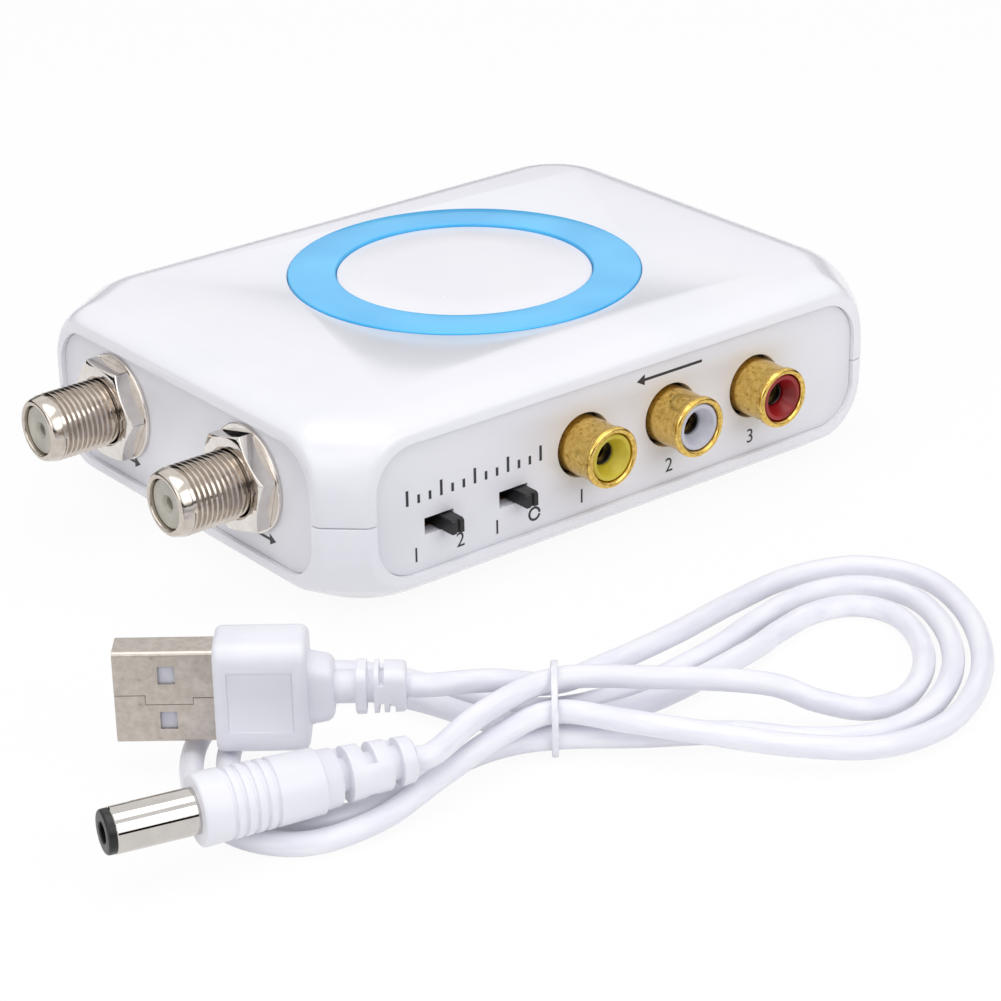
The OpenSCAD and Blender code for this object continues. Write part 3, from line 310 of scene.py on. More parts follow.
# %% Rounding picked edges
def bevelled(piece, width, picks, segments=2):
    """Rounds the edges for which picks(edge's middle, its two face normals) is true."""
    only(piece)
    mesh = piece.data
    normals = {}
    for face in mesh.polygons:
        for key in face.edge_keys:
            normals.setdefault(key, []).append(face.normal.copy())
    for parts in (mesh.polygons, mesh.vertices):
        parts.foreach_set("select", [False] * len(parts))
    count = 0
    for edge in mesh.edges:
        a, b = (mesh.vertices[v].co for v in edge.vertices)
        sides = normals.get(tuple(sorted(edge.vertices)), [])
        edge.select = len(sides) == 2 and bool(picks((a + b) / 2 / mm, sides))
        count += edge.select
    bpy.context.tool_settings.mesh_select_mode = (False, True, False)
    bpy.ops.object.mode_set(mode="EDIT")
    if count:
        bpy.ops.mesh.bevel(offset=width * mm, segments=segments, affect="EDGES")
    bpy.ops.object.mode_set(mode="OBJECT")
    return piece


def sharp(limit):
    """Picks edges that turn by more than some degrees."""
    return lambda middle, sides: sides[0].angle(sides[1], 0) > math.radians(limit)


print("helper for edges ready")

# %% [markdown]
# Many pieces are bars with round corners: panels, plugs, levers. A flat face gets its corners
# rounded first, and is then extruded and widened or narrowed step by step, as by hand.

# %% Bars and blocks
def bar(name, width, height, radius, stretches, corner_steps):
    """Extrudes a rounded rectangle along Z. Each stretch is (z, width, height) in mm."""
    bpy.ops.object.select_all(action="DESELECT")
    bpy.ops.mesh.primitive_plane_add(size=mm, location=(0, 0, 0))
    piece = bpy.context.object
    piece.name = piece.data.name = name
    placed(piece, Matrix.Diagonal((width, height, 1, 1)))
    opened(piece)
    bpy.ops.mesh.bevel(offset=radius * mm, segments=corner_steps, affect="VERTICES")
    bpy.ops.mesh.select_all(action="SELECT")
    first_z, first_w, first_h = stretches[0]
    bpy.ops.transform.translate(value=(0, 0, first_z * mm))
    bpy.ops.transform.resize(value=(first_w / width, first_h / height, 1))
    for (z0, w0, h0), (z1, w1, h1) in zip(stretches, stretches[1:]):
        bpy.ops.mesh.extrude_region_move(TRANSFORM_OT_translate={"value": (0, 0, (z1 - z0) * mm)})
        bpy.ops.transform.resize(value=(w1 / w0, h1 / h0, 1))
    bpy.ops.object.mode_set(mode="OBJECT")
    return cleaned(piece)


def box(name, low, high):
    """A block between any two opposite corners."""
    across = Vector(high) - Vector(low)
    bpy.ops.object.select_all(action="DESELECT")
    bpy.ops.mesh.primitive_cube_add(size=mm, location=(0, 0, 0))
    piece = bpy.context.object
    piece.name = name
    placed(piece, Matrix.Diagonal((*map(abs, across), 1)))
    return placed(piece, shifted(Vector(low) + across / 2))


print("bars and blocks ready")

# %% [markdown]
# A piece that the CAD model already shapes well is copied from its node. The node's mesh is
# loose triangles, so the copy is merged, its flat faces are made whole again and its sharp
# edges are rounded. Each finished piece is then hung on the body it moves with, and the nodes
# it stands for are hidden.

# %% Copies of CAD nodes
def from_cad(node, name, width):
    """A copy of a CAD node, merged, with its sharp edges rounded."""
    piece = copied(nodes[node], name)
    piece.parent = None
    for key in list(piece.keys()):
        del piece[key]
    piece.data.materials.clear()
    opened(cleaned(piece))
    bpy.ops.mesh.customdata_custom_splitnormals_clear()
    bpy.ops.mesh.dissolve_limited(angle_limit=math.radians(1))
    bpy.ops.object.mode_set(mode="OBJECT")
    if width:
        softened(piece, width, 40)
    return smooth(piece)


def finished(piece, body, *replaced):
    """Hangs a piece on the body it moves with and hides the CAD nodes it stands for."""
    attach(piece, body)
    if replaced:
        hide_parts(*replaced)
    return piece


print("copies ready")

# %% [markdown]
# ## The cord
# The cord is soft PVC, extruded smooth. A curve with a round bevel gives an even tube along
# the centre line, and turning it into a mesh gives it a map along and around, which the
# cord's finish uses for the faint bands that the extruder leaves.

# %% The cord
curve = bpy.data.curves.new("lead", "CURVE")
curve.dimensions = "3D"
curve.bevel_depth = cord_r * mm
curve.bevel_resolution = 6
curve.use_fill_caps = True
line = curve.splines.new("POLY")
line.points.add(len(centre_line) - 1)
for point, place in zip(line.points, centre_line):
    point.co = (*place, 1)
lead = bpy.data.objects.new("lead", curve)
bpy.context.scene.collection.objects.link(lead)
only(lead)
bpy.ops.object.convert(target="MESH")
lead = bpy.context.object
cleaned(lead)
smooth(lead, 50)
finished(lead, "root", "lead_cord")
print("cord:", len(lead.data.polygons), "faces, map:", [m.name for m in lead.data.uv_layers])

# %% [markdown]
# ## The case
# The case is moulded in two halves. Seen from above it is a rectangle with round corners, and
# its walls roll over to a flat lid and a flat bottom. Each corner is a quarter turn of that
# rolled profile. A hull stretched over the four corners and over the flat rims that stand
# round the panels gives the skin, like cloth pulled over them. Two rotations stand a flat
# drawing up on the front and on the left end. The play is the gap between pieces that fit
# into each other, and over is how far a cutting tool reaches past what it cuts.

# %% The case's measures
case_l, case_w, case_h = 101.6, 76.8, 27.8
case_at = Vector((6.1, 2.45, 0.5))
case_frame = Matrix.Translation(case_at * mm)
part_z, part_gap, wall = 14.6, 0.15, 2.2
corner_r = 15.2
top_inset, top_round_h = 9.7, 12.4
bottom_inset, bottom_round_h = 9.0, 12.7
front_left, front_right, end_front, end_back = 6.8, 10, 6.5, 10
panel_low, panel_high, panel_r = 5.8, 24.4, 6
panel_in, rim_in, rim_w, panel_t, flange_t, flange_w = 1.2, 0.6, 0.9, 1.2, 1, 0.8
play, over = 0.1, 1
front_w, end_w = case_l - front_left - front_right, case_w - end_front - end_back
front_x, end_y = (front_left - front_right) / 2, (end_front - end_back) / 2
panel_h, panel_z = panel_high - panel_low, (panel_high + panel_low) / 2
stands = Matrix.Rotation(math.pi / 2, 4, "X")
stands_at_end = Matrix.Rotation(-math.pi / 2, 4, "Z") @ stands
on_front = shifted((front_x, -case_w / 2, panel_z)) @ stands
on_end = shifted((-case_l / 2, end_y, panel_z)) @ stands_at_end
print("panels:", round(front_w, 1), "and", round(end_w, 1), "by", round(panel_h, 1), "mm")

# %% [markdown]
# The corners and the rims are drawn with enough steps that no facet shows on the lid, and the
# hollow inside, which nobody sees, with few.

# %% The case's skin
def slab(near, far, grow, front):
    """A bar with a panel's outline between two depths behind the case's front or end."""
    w, h = (front_w if front else end_w) + 2 * grow, panel_h + 2 * grow
    piece = bar("slab", w, h, panel_r + grow, [(-far, w, h), (-near, w, h)], 16)
    return placed(piece, on_front if front else on_end)


def rolled_rim(front, depth=6, rise=2.4, steps=10):
    """The flat rim round a panel, rolling over into the lid behind it."""
    w, h = (front_w if front else end_w) + 2 * rim_w, panel_h + 2 * rim_w
    stretches = []
    for k in range(steps, -1, -1):
        a = math.pi / 2 * k / steps
        grow = rise * math.sin(a)
        stretches.append((-rim_in - depth * (1 - math.cos(a)), w + 2 * grow, h + 2 * grow))
    piece = bar("rim", w, h, panel_r + rim_w, stretches, 24)
    return placed(piece, on_front if front else on_end)


def skin(name, inset, arc_steps, turn_steps, rims=()):
    """The hull over the four corners and any rims, some way inside the surface."""
    radius = corner_r - inset
    foot, foot_h = bottom_inset - inset, bottom_round_h - inset
    brow, brow_h = top_inset - inset, top_round_h - inset
    swing = [math.pi / 2 * k / arc_steps for k in range(arc_steps + 1)]
    profile = [(radius - foot + foot * math.sin(a), 0, inset + foot_h * (1 - math.cos(a)))
               for a in swing]
    profile += [(radius - brow + brow * math.sin(a), 0, case_h - inset - brow_h * (1 - math.cos(a)))
                for a in reversed(swing)]
    pieces = []
    for k, (sx, sy) in enumerate(((1, 1), (-1, 1), (-1, -1), (1, -1))):
        piece = drawn("corner", profile, [(n, n + 1) for n in range(len(profile) - 1)])
        opened(piece)
        bpy.ops.mesh.spin(steps=turn_steps, angle=math.pi / 2, center=(0, 0, 0), axis=(0, 0, -1))
        bpy.ops.object.mode_set(mode="OBJECT")
        corner = shifted((sx * (case_l / 2 - corner_r), sy * (case_w / 2 - corner_r), 0))
        pieces.append(placed(piece, corner @ Matrix.Rotation(k * math.pi / 2, 4, "Z")))
    piece = joined(name, pieces + list(rims))
    opened(piece)
    bpy.ops.mesh.convex_hull(delete_unused=True, use_existing_faces=False, join_triangles=True)
    bpy.ops.object.mode_set(mode="OBJECT")
    return cleaned(piece)


shell = skin("shell", 0, 22, 22, (rolled_rim(True), rolled_rim(False)))
inside = skin("inside", wall, 8, 8)
print("skin:", len(shell.data.polygons), "faces; inside:", len(inside.data.polygons))

# %% [markdown]
# The skin is then hollowed, and what the panels, the ring, the power inlet, the feet and the
# case screws need is cut out of it. Last it is cut in two at the joint, where the halves'
# edges are broken a little, as a mould leaves them.

# %% Hollowing and cutting the case
ring_outer, ring_inner, ring_shift, ring_pocket = 25.3, 18.4, 0.6, 1.6
boss_x, boss_y, boss_r = 13.3, 11.4, 3.2
foot_x, foot_y, foot_r, foot_recess = 19.8, 18.4, 4, 0.5
well_r, well_deep, shank_r, shank_low, shank_short = 2.9, 6, 1.4, 1, 5
inlet_in, inlet_z, inlet_r = 22.8, 13.9, 4
panel_seam = 0.04


def round_bar(radius, low, high, place, steps):
    """A plain round tool between two heights."""
    piece = turned("tool", [(0, low), (radius, low), (radius, high), (0, high)], steps)
    return placed(piece, shifted(place))


def at_corners(in_x, in_y):
    """The four places that are this far in from the case's sides."""
    return [(sx * (case_l / 2 - in_x), sy * (case_w / 2 - in_y), 0) for sx in (-1, 1) for sy in (-1, 1)]


def four_bars(radius, low, high, in_x, in_y, steps):
    """One tool of four round bars, a corner each."""
    return joined("tools", [round_bar(radius, low, high, place, steps)
                            for place in at_corners(in_x, in_y)])


cut(shell, inside)
cut(shell, four_bars(boss_r, wall / 2, case_h - wall / 2, boss_x, boss_y, 32), "UNION")
opening = panel_in + panel_t + play / 2
pocket = panel_in + panel_t + flange_t + play
for front in (True, False):
    cut(shell, slab(-over, opening, panel_seam, front))
    cut(shell, slab(opening - play, pocket, flange_w + play, front))
ring_middle = (ring_shift, ring_shift, 0)
cut(shell, round_bar(ring_outer + play, case_h - ring_pocket, case_h + over, ring_middle, 128))
inlet_way = shifted((case_l / 2 - inlet_in, case_w / 2 - wall - over, inlet_z))
inlet_tool = round_bar(inlet_r, 0, wall + 2 * over, (0, 0, 0), 64)
cut(shell, placed(inlet_tool, inlet_way @ Matrix.Rotation(-math.pi / 2, 4, "X")))
cut(shell, four_bars(foot_r + play, -over, foot_recess, foot_x, foot_y, 48))
cut(shell, four_bars(well_r, -over, well_deep, boss_x, boss_y, 40))
cut(shell, four_bars(shank_r, shank_low, case_h - shank_short, boss_x, boss_y, 24))
print("case cut:", len(shell.data.polygons), "faces")

# %% [markdown]
# The shell is cut in two, and then the edges are rounded where light can catch them: along
# the joint, round the panels' openings and round the ring's pocket.

# %% Splitting the case and rounding its edges
top_cover = shell
top_cover.name = top_cover.data.name = "lid_shell"
bottom_case = copied(shell, "base_shell")
far = case_l
lid_edge, base_edge = part_z + part_gap / 2, part_z - part_gap / 2
cut(top_cover, box("below", (-far, -far, -far), (far, far, lid_edge)))
cut(bottom_case, box("above", (-far, -far, base_edge), (far, far, far)))
near, joint_round, rim_round = 0.02, 0.18, 0.12
sharp_turn = sharp(50)


def outside_edge(height):
    """Picks the outer edge of a half's joint face."""
    def picks(middle, sides):
        level = [abs(n.z) > 0.99 for n in sides]
        if abs(middle.z - height) > 0.01 or level[0] == level[1]:
            return False
        wall_way = sides[1] if level[0] else sides[0]
        faces_out = wall_way.x * middle.x + wall_way.y * middle.y > 0
        x, y = abs(middle.x), abs(middle.y)
        on_side = x > case_l / 2 - wall / 2 - 1 or y > case_w / 2 - wall / 2 - 1
        past = Vector((x - case_l / 2 + corner_r, y - case_w / 2 + corner_r))
        return faces_out and (on_side or past.length > corner_r - wall / 2 and past.x > 0)
    return picks


def opening_edge(middle, sides):
    """Picks the outer edges of the panels' openings, but not where the joint meets them."""
    on_rim = abs(middle.y + case_w / 2 - rim_in) < near or abs(middle.x + case_l / 2 - rim_in) < near
    beside_panel = abs(middle.z - panel_z) < panel_h / 2 + 0.2
    at_joint = abs(middle.z - part_z) < part_gap
    return sharp_turn(middle, sides) and on_rim and beside_panel and not at_joint


def pocket_edge(middle, sides):
    """Picks the edge of the ring's pocket on the lid."""
    return sharp_turn(middle, sides) and middle.z > case_h - near


for half, height, node in ((top_cover, lid_edge, "top_cover"), (bottom_case, base_edge, "bottom_case")):
    bevelled(half, joint_round, outside_edge(height), 3)
    bevelled(half, rim_round, opening_edge)
    bevelled(half, rim_round, pocket_edge)
    finished(smooth(placed(half, case_frame), 28), "root", node)
print("lid:", len(top_cover.data.polygons), "faces; base:", len(bottom_case.data.polygons))

# %% [markdown]
# ## Panels, ring and disc
# The two panels are flat plates with holes, so copies of the CAD plates with softened edges
# are enough. The ring is a strip of tinted acrylic and the disc inside it a polished cap:
# both are turned, with a small radius on every edge that catches the light.

# %% Panels, ring and disc
front_panel = finished(from_cad("front_panel", "front_plate", 0.09), "root", "front_panel")
end_panel = finished(from_cad("end_panel", "end_plate", 0.09), "root", "end_panel")

ring_place = case_frame @ shifted(ring_middle)
ring_low, ring_top, ring_edge = case_h - ring_pocket, case_h + 0.25, 0.22
ring_in = ring_inner + 0.02
outline = [(ring_in, ring_low), (ring_outer, ring_low)]
outline += arc((ring_outer - ring_edge, ring_top - ring_edge), ring_edge, 0, 90)
outline += arc((ring_in + ring_edge, ring_top - ring_edge), ring_edge, 90, 180)
light_ring = finished(smooth(placed(turned("lit_ring", outline, 180), ring_place)), "root", "light_ring")

disc_sunk, disc_edge, disc_crown = 0.1, 0.2, 0.05
disc_r, disc_top = ring_inner - play, case_h - disc_sunk
outline = [(0, ring_low), (disc_r, ring_low)]
outline += arc((disc_r - disc_edge, disc_top - disc_crown - disc_edge), disc_edge, 0, 85)
outline += [(disc_r * 0.6, disc_top - 0.01), (0, disc_top)]
centre_disc = finished(smooth(placed(turned("lid_disc", outline, 180), ring_place)), "root", "centre_disc")
print("ring and disc:", len(light_ring.data.polygons), len(centre_disc.data.polygons), "faces")

# %% [markdown]
# ## Places on the panels
# What stands on a panel is made lying down, with Z pointing away from the panel, and is then
# placed on the panel's face, at the middle of the CAD node that it stands for.

# %% Places on the panels
end_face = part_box("end_panel")[0].x
front_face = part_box("front_panel")[0].y


def middle(node):
    """The middle of a CAD node's box, in metres."""
    low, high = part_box(node)
    return (low + high) / 2


def at_end(node):
    """On the end panel's face, at a node's place."""
    return Matrix.Translation((end_face, *middle(node).yz)) @ stands_at_end


def at_front(node):
    """On the front panel's face, at a node's place."""
    return Matrix.Translation((middle(node).x, front_face, middle(node).z)) @ stands


print("panel faces at", round(end_face / mm, 2), "and", round(front_face / mm, 2), "mm")

# %% [markdown]
# ## Aerial sockets
# A threaded socket is turned from nickel plated brass. Its barrel is spun, and its thread is
# one ridge, nearly triangular, that a screw modifier winds along it, 32 turns to the inch.
# Heights count from the panel's face.

# %% The sockets' barrel and thread
f_reach, f_inner, f_bore, f_root, f_crest = 13.4, -7.2, 3.5, 4.3, 4.75
pitch, thread_start, thread_turns = 25.4 / 32, 3.45, 10
washer_t, nut_t, nut_af = 0.6, 2.6, 12.9
mouth_r, lip_r = 0.62, 0.25
outline = [(f_bore, f_inner), (4.45, f_inner), (4.45, -3), (6, -3), (6, -2.25), (4.45, -2.25),
           (4.45, washer_t + nut_t), (f_root, washer_t + nut_t + 0.1), (f_root, f_reach - 1.95),
           (4.66, f_reach - 1.8), (4.7, f_reach - 1.55)]
outline += arc((4.42 - mouth_r, f_reach - mouth_r), mouth_r, 15, 90, 8)
outline += arc((f_bore + lip_r, f_reach - lip_r), lip_r, 90, 180, 5)
barrel = turned("aerial_barrel", outline, 96)

ridge_sunk, ridge_half, crest_half = 0.1, 0.33, 0.06
ridge = drawn("ridge", [(f_root - ridge_sunk, 0, -ridge_half), (f_crest, 0, -crest_half),
                        (f_crest, 0, crest_half), (f_root - ridge_sunk, 0, ridge_half)],
              [(0, 1), (1, 2), (2, 3), (3, 0)])
applied(ridge, "SCREW", axis="Z", angle=math.tau, screw_offset=pitch * mm, iterations=thread_turns,
        steps=48, render_steps=48, use_merge_vertices=False)
opened(ridge)
bpy.ops.mesh.fill_holes(sides=4)
bpy.ops.object.mode_set(mode="OBJECT")
cleaned(placed(ridge, shifted((0, 0, thread_start))))
barrel = smooth(joined("aerial_barrel", [barrel, ridge]), 25)
print("barrel:", len(barrel.data.polygons), "faces")

# %% [markdown]
# Inside the barrel a pale plastic insulator holds a clip of two gold plated leaves, which
# grips the plug's pin. Outside lies a flat round washer.

# %% The sockets' insulator, clip and washer
outline = [(0.9, f_inner), (3.38, f_inner), (3.38, f_reach - 0.78)]
outline += arc((3.2, f_reach - 0.78), 0.18, 0, 90, 4)
outline += [(1.35, f_reach - 0.62), (1.2, f_reach - 0.68), (0.9, f_reach - 1.1)]
insulator = smooth(turned("aerial_insulator", outline, 72), 30)

leaf = [(0.3, 2), (0.7, 2), (0.7, 11.2), (0.6, 11.6), (0.42, 11.6), (0.3, 11.2)]
leaves = [placed(turned("leaf", leaf, 16, 150), Matrix.Rotation(math.pi * k, 4, "Z")) for k in (0, 1)]
clip = smooth(joined("aerial_clip", leaves))

washer = smooth(turned("aerial_washer", [(4.95, 0), (7.5, 0), (7.6, 0.1), (7.6, 0.42)]
                       + arc((7.42, 0.42), 0.18, 0, 90, 4) + [(5.05, 0.6), (4.95, 0.5)], 96), 30)
print("insulator, clip, washer:", [len(k.data.polygons) for k in (insulator, clip, washer)], "faces")

# %% [markdown]
# The nut is a hexagon whose corners are turned off: a hexagonal prism and a turned ring are
# intersected. The two nuts stopped at different turns, as they were tightened by hand.

# %% The sockets' nuts, and the sockets in their places
nut_top = washer_t + nut_t
nut_outline = [(4.95, washer_t), (7.1, washer_t), (7.45, washer_t + 0.2), (7.45, nut_top - 0.55),
               (6.38, nut_top), (5, nut_top), (4.6, nut_top - 0.35), (4.6, washer_t + 0.3)]


def nut(name, degrees):
    """A hexagon nut with its corners turned off, turned by some degrees."""
    bpy.ops.object.select_all(action="DESELECT")
    bpy.ops.mesh.primitive_cylinder_add(vertices=6, radius=nut_af / math.sqrt(3) * mm,
                                        depth=nut_t * mm, location=(0, 0, 0))
    piece = bpy.context.object
    piece.name = piece.data.name = name
    lift = shifted((0, 0, washer_t + nut_t / 2))
    placed(piece, lift @ Matrix.Rotation(math.radians(degrees + 30), 4, "Z"))
    cut(piece, turned("nut_ring", nut_outline, 96), "INTERSECT")
    bevelled(piece, 0.1, sharp(35))
    return applied(smooth(piece, 35), "WEIGHTED_NORMAL", keep_sharp=True, weight=100)


sockets = []
for side, degrees in (("in", 0), ("out", 14)):
    made = {"barrel": copied(barrel, "aerial_barrel_" + side), "nut": nut("aerial_nut_" + side, degrees)}
    for kind, piece in (("washer", washer), ("insulator", insulator), ("clip", clip)):
        made[kind] = copied(piece, "aerial_" + kind + "_" + side)
    stands_for = {"barrel": "f_barrel_" + side, "nut": "f_nuts", "washer": "f_washers",
                  "insulator": "f_insulators", "clip": "f_contacts"}
    for kind, piece in made.items():
        finished(placed(piece, at_end(stands_for["barrel"])), "root", stands_for[kind])
    sockets.append(made)
for piece in (barrel, insulator, clip, washer):
    bpy.data.objects.remove(piece)
print("aerial sockets:", len(sockets))

# %% [markdown]
# ## Phono sockets
# Each is a drawn, gold plated shell: a barrel that narrows a little towards its rolled lip.
# Inside sits a coloured plastic insert, flat at its rim, with a funnel down to the hole that
# takes the plug's pin. Yellow carries the picture, white and red the sound.

# %% Phono sockets
rca_back, rca_reach = -4.3, 6.1
shell_outline = [(3.4, rca_back), (4.1, rca_back), (4.1, 0.3), (4.09, 1.2), (4.07, 2.1), (4.04, 3),
                 (4.01, 3.8), (3.99, 4.35), (3.99, 4.6), (4.03, 4.76)]
shell_outline += arc((3.86, 5.2), 0.45, -55, 0, 4) + arc((3.86, 5.65), 0.45, 0, 90, 7)
shell_outline += [(3.72, rca_reach), (3.6, 6.05), (3.48, 5.9), (3.42, 5.7), (3.4, 5.5)]
insert_outline = [(1.62, rca_back), (3.3, rca_back), (3.3, 5.6)] + arc((3.15, 5.6), 0.15, 0, 90, 4)
insert_outline += [(2.8, 5.75), (2.7, 5.72), (2.62, 5.6), (1.72, 4.2), (1.64, 4.05), (1.62, 3.9)]
throat_outline = [(0, rca_back + 0.1), (1.6, rca_back + 0.1), (1.6, 3.7), (1.5, 3.8), (1.4, 3.7),
                  (1.4, rca_back + 0.4), (0, rca_back + 0.4)]
phono = {}
for kind in ("video", "left", "right"):
    place = at_front("rca_shell_" + kind)
    metal = smooth(placed(turned("phono_shell_" + kind, shell_outline, 96), place), 35)
    insert = smooth(placed(turned("phono_insert_" + kind, insert_outline, 80), place), 30)
    finished(metal, "root", "rca_shell_" + kind)
    finished(insert, "root", "rca_insert_" + kind)
    throat = turned("phono_throat_" + kind, throat_outline, 40)
    finished(smooth(placed(throat, place)), "root")
    phono[kind] = (metal, insert, throat)
print("phono sockets:", list(phono))

# %% [markdown]
# ## Slide switches
# The levers are small black blocks with a groove across the tip and their upper front edge
# taken off. They move, so each rides on its own body. Behind them stand the switches' folded
# metal frames, of which a little shows in the slots.

# %% Slide switches
tip_cut, knob_round, close = 0.5, 0.07, 0.05
levers = []
for node in ("channel_lever", "power_lever"):
    knob = from_cad(node, node.replace("lever", "knob"), 0)
    tip_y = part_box(node)[0].y / mm
    top_z = max(v.co.z for v in knob.data.vertices if v.co.y < (tip_y + 0.1) * mm) / mm

    def upper_front(spot, sides, tip_y=tip_y, top_z=top_z):
        """Picks the upper edge of the lever's tip."""
        return abs(spot.y - tip_y) < close and abs(spot.z - top_z) < close

    bevelled(knob, tip_cut, upper_front, 3)
    softened(knob, knob_round, 35)
    levers.append(finished(smooth(knob, 25), node, node))
frames = [finished(from_cad(node, node.replace("switch_frame", "bracket"), 0.06), "root", node)
          for node in ("channel_switch_frame", "power_switch_frame")]
print("levers:", [k.name for k in levers])

# %% [markdown]
# ## Computer plug
# The plug's shell is folded from thin nickel plated sheet: a flat tube with two windows in
# each broad side, and a white tongue with four contacts inside. Where the sheet's edges meet
# they leave a stepped seam, drawn as fine strips on the sheet, darker with painted shade for
# the open joint. The rotation that points Z out of the left end also points it from the cord
# to the plug's tip.

# %% The computer plug's shell
lead_frame_m = shifted(lead_at) @ Matrix.Rotation(lead_turn, 4, "Z")
usb_body_at, usb_shell_at = 11.5, 22.5


def at_usb(back):
    """On the plug's axis, a distance in front of its cord, with Z pointing to its tip."""
    return lead_frame_m @ shifted(usb_exit - Vector((back, 0, 0))) @ stands_at_end


shell_w, shell_h, shell_l, shell_t = 4.5, 12, 11.9, 0.35
sheet = [(z, shell_w, shell_h) for z in (0, shell_l)]
usb_shell = bar("usb_sleeve", shell_w, shell_h, 0.6, sheet, 4)
hollow_w, hollow_h = shell_w - 2 * shell_t, shell_h - 2 * shell_t
hollow = [(z, hollow_w, hollow_h) for z in (shell_t, shell_l + over)]
cut(usb_shell, bar("hollow", hollow_w, hollow_h, 0.3, hollow, 3))
window_y, window_half, window_low, window_high = 3, 1.15, 4.6, 6.6
windows = [box("window", (-shell_w, side * window_y - window_half, window_low),
               (shell_w, side * window_y + window_half, window_high)) for side in (-1, 1)]
cut(usb_shell, joined("windows", windows))
softened(usb_shell, 0.05, 50)
applied(smooth(usb_shell, 25), "WEIGHTED_NORMAL", keep_sharp=True, weight=100)

seam_sunk, seam_proud = shell_w / 2 - 0.05, shell_w / 2 + 0.03
seam_strips = [((-0.05, 0.05), (0.05, 2.6)), ((-0.9, 2.55), (0.04, 2.63)), ((-0.9, 2.6), (-0.82, 8.2)),
               ((-0.9, 8.2), (0.4, 8.28)), ((0.32, 8.2), (0.4, 11.8))]
strips = [box("seam", (seam_sunk, y0, z0), (seam_proud, y1, z1)) for (y0, z0), (y1, z1) in seam_strips]
usb_seam = finished(placed(joined("usb_seam", strips), at_usb(usb_shell_at)), "root")
finished(placed(usb_shell, at_usb(usb_shell_at)), "root", "usb_shell")
usb_tongue = finished(from_cad("usb_tongue", "usb_tab", 0.1), "root", "usb_tongue")
usb_contacts = finished(from_cad("usb_contacts", "usb_pads", 0.05), "root", "usb_contacts")
print("plug's shell:", len(usb_shell.data.polygons), "faces")

# %% [markdown]
# The grip is moulded over the shell in soft white plastic, with a shallow panel for the
# thumb, a shoulder, and a slotted sleeve that lets the cord bend gently.

# %% The computer plug's grip
body_w, body_h = 8, 14.4
grip = bar("usb_grip", body_w, body_h, 2.1, [
    (0, 6.9, 12.9), (0.2, 7.5, 13.7), (0.6, 7.9, 14.25), (1, 8, 14.4), (10, 8, 14.4),
    (10.45, 7.92, 14.3), (10.8, 7.65, 14), (11, 7.2, 13.5)], 8)
thumb_deep, thumb_half, thumb_low, thumb_high = 0.14, 3.9, 1.8, 9.4
for side in (-1, 1):
    cut(grip, box("thumb", (side * (body_w / 2 - thumb_deep), -thumb_half, thumb_low),
                  (side * (body_w / 2 + over), thumb_half, thumb_high)))


def thumb_edge(spot, sides):
    """Picks the edges of the thumb's panel."""
    beside = abs(spot.y) < thumb_half + 0.1 and thumb_low - 0.1 < spot.z < thumb_high + 0.1
    return abs(abs(spot.x) - body_w / 2) < 0.25 and beside and sharp(57)(spot, sides)


bevelled(grip, 0.14, thumb_edge)
shoulder = bar("shoulder", 5.6, 8.6, 2, [(-3, 4.6, 6), (-2.8, 5.1, 6.9), (-2.3, 5.4, 7.7),
                                         (0.2, 5.8, 8.8)], 6)
neck = round_bar(2, -6, -2.6, (0, 0, 0), 40)
sleeve = bar("sleeve", 5, 6, 1.5, [(-11.5, 4, 5), (-11.35, 4.4, 5.4), (-11.1, 4.55, 5.6),
                                   (-5.9, 5, 6), (-5.65, 4.9, 5.9), (-5.5, 4.5, 5.5)], 6)
slot_in, slot_out, core_r = 1.2, 5, 1.95
for y0, y1, z0, z1 in ((-slot_out, slot_out, -7.7, -6.8), (slot_in, slot_out, -8.9, -8.3),
                       (-slot_in, -slot_out, -8.9, -8.3), (-slot_in, -slot_out, -10.2, -9.5)):
    notch = box("notch", (-slot_out, y0, z0), (slot_out, y1, z1))
    cut(notch, round_bar(core_r, z0 - over, z1 + over, (0, 0, 0), 32))
    cut(sleeve, notch)
for piece in (shoulder, neck, sleeve):
    cut(grip, piece, "UNION")
smooth(softened(grip, 0.09, 55), 32)
usb_grip = finished(placed(grip, at_usb(usb_body_at)), "root", "usb_overmould")
print("plug's grip:", len(usb_grip.data.polygons), "faces")

# %% [markdown]
# ## Power plug
# The barrel plug is turned, so it is spun: a mirror bright sleeve, a black ring at its tip,
# and a ribbed grip. Its bend relief has three slots that leave a bridge on alternate sides.

# %% Power plug
dc_place = (lead_frame_m @ shifted(dc_tip) @ Matrix.Rotation(math.atan2(dc_way.y, dc_way.x), 4, "Z")
            @ Matrix.Rotation(math.pi / 2, 4, "Y"))
dc_barrel = turned("dc_sleeve", [(1.25, 1), (2.62, 1), (2.75, 1.13), (2.75, 10.9), (1.25, 10.9)], 72)
dc_tip_ring = turned("dc_tip_ring", [(1.25, 0.15), (1.4, 0), (2.3, 0)]
                     + arc((2.3, 0.35), 0.35, -90, 0, 5) + [(2.65, 1.05), (1.25, 1.05)], 72)
grip_start, grip_end, big_r, small_r = 10.8, 25.7, 4.3, 3.9
rib_count, first_rib, rib_step = 5, 3.4, 1.3
rib_groove = [(0, -0.05), (0.08, 0), (0.32, 0.1), (0.32, 0.4), (0.08, 0.5), (0, 0.55)]
relief_r, relief_taper, relief_round = 3.55, 0.8, 0.3
outline = [(0, grip_start), (3.85, grip_start)] + arc((3.9, grip_start + 0.4), 0.4, -90, 0, 5)
for k in range(rib_count):
    z = grip_start + first_rib + rib_step * k
    r = big_r - (big_r - small_r) * (z - grip_start) / (grip_end - grip_start)
    outline += [(r - deep, z + along) for deep, along in rib_groove]
outline += [(small_r, grip_end - 0.4)] + arc((small_r - 0.35, grip_end - 0.35), 0.35, 10, 80, 4)
relief_l = dc_total - grip_end
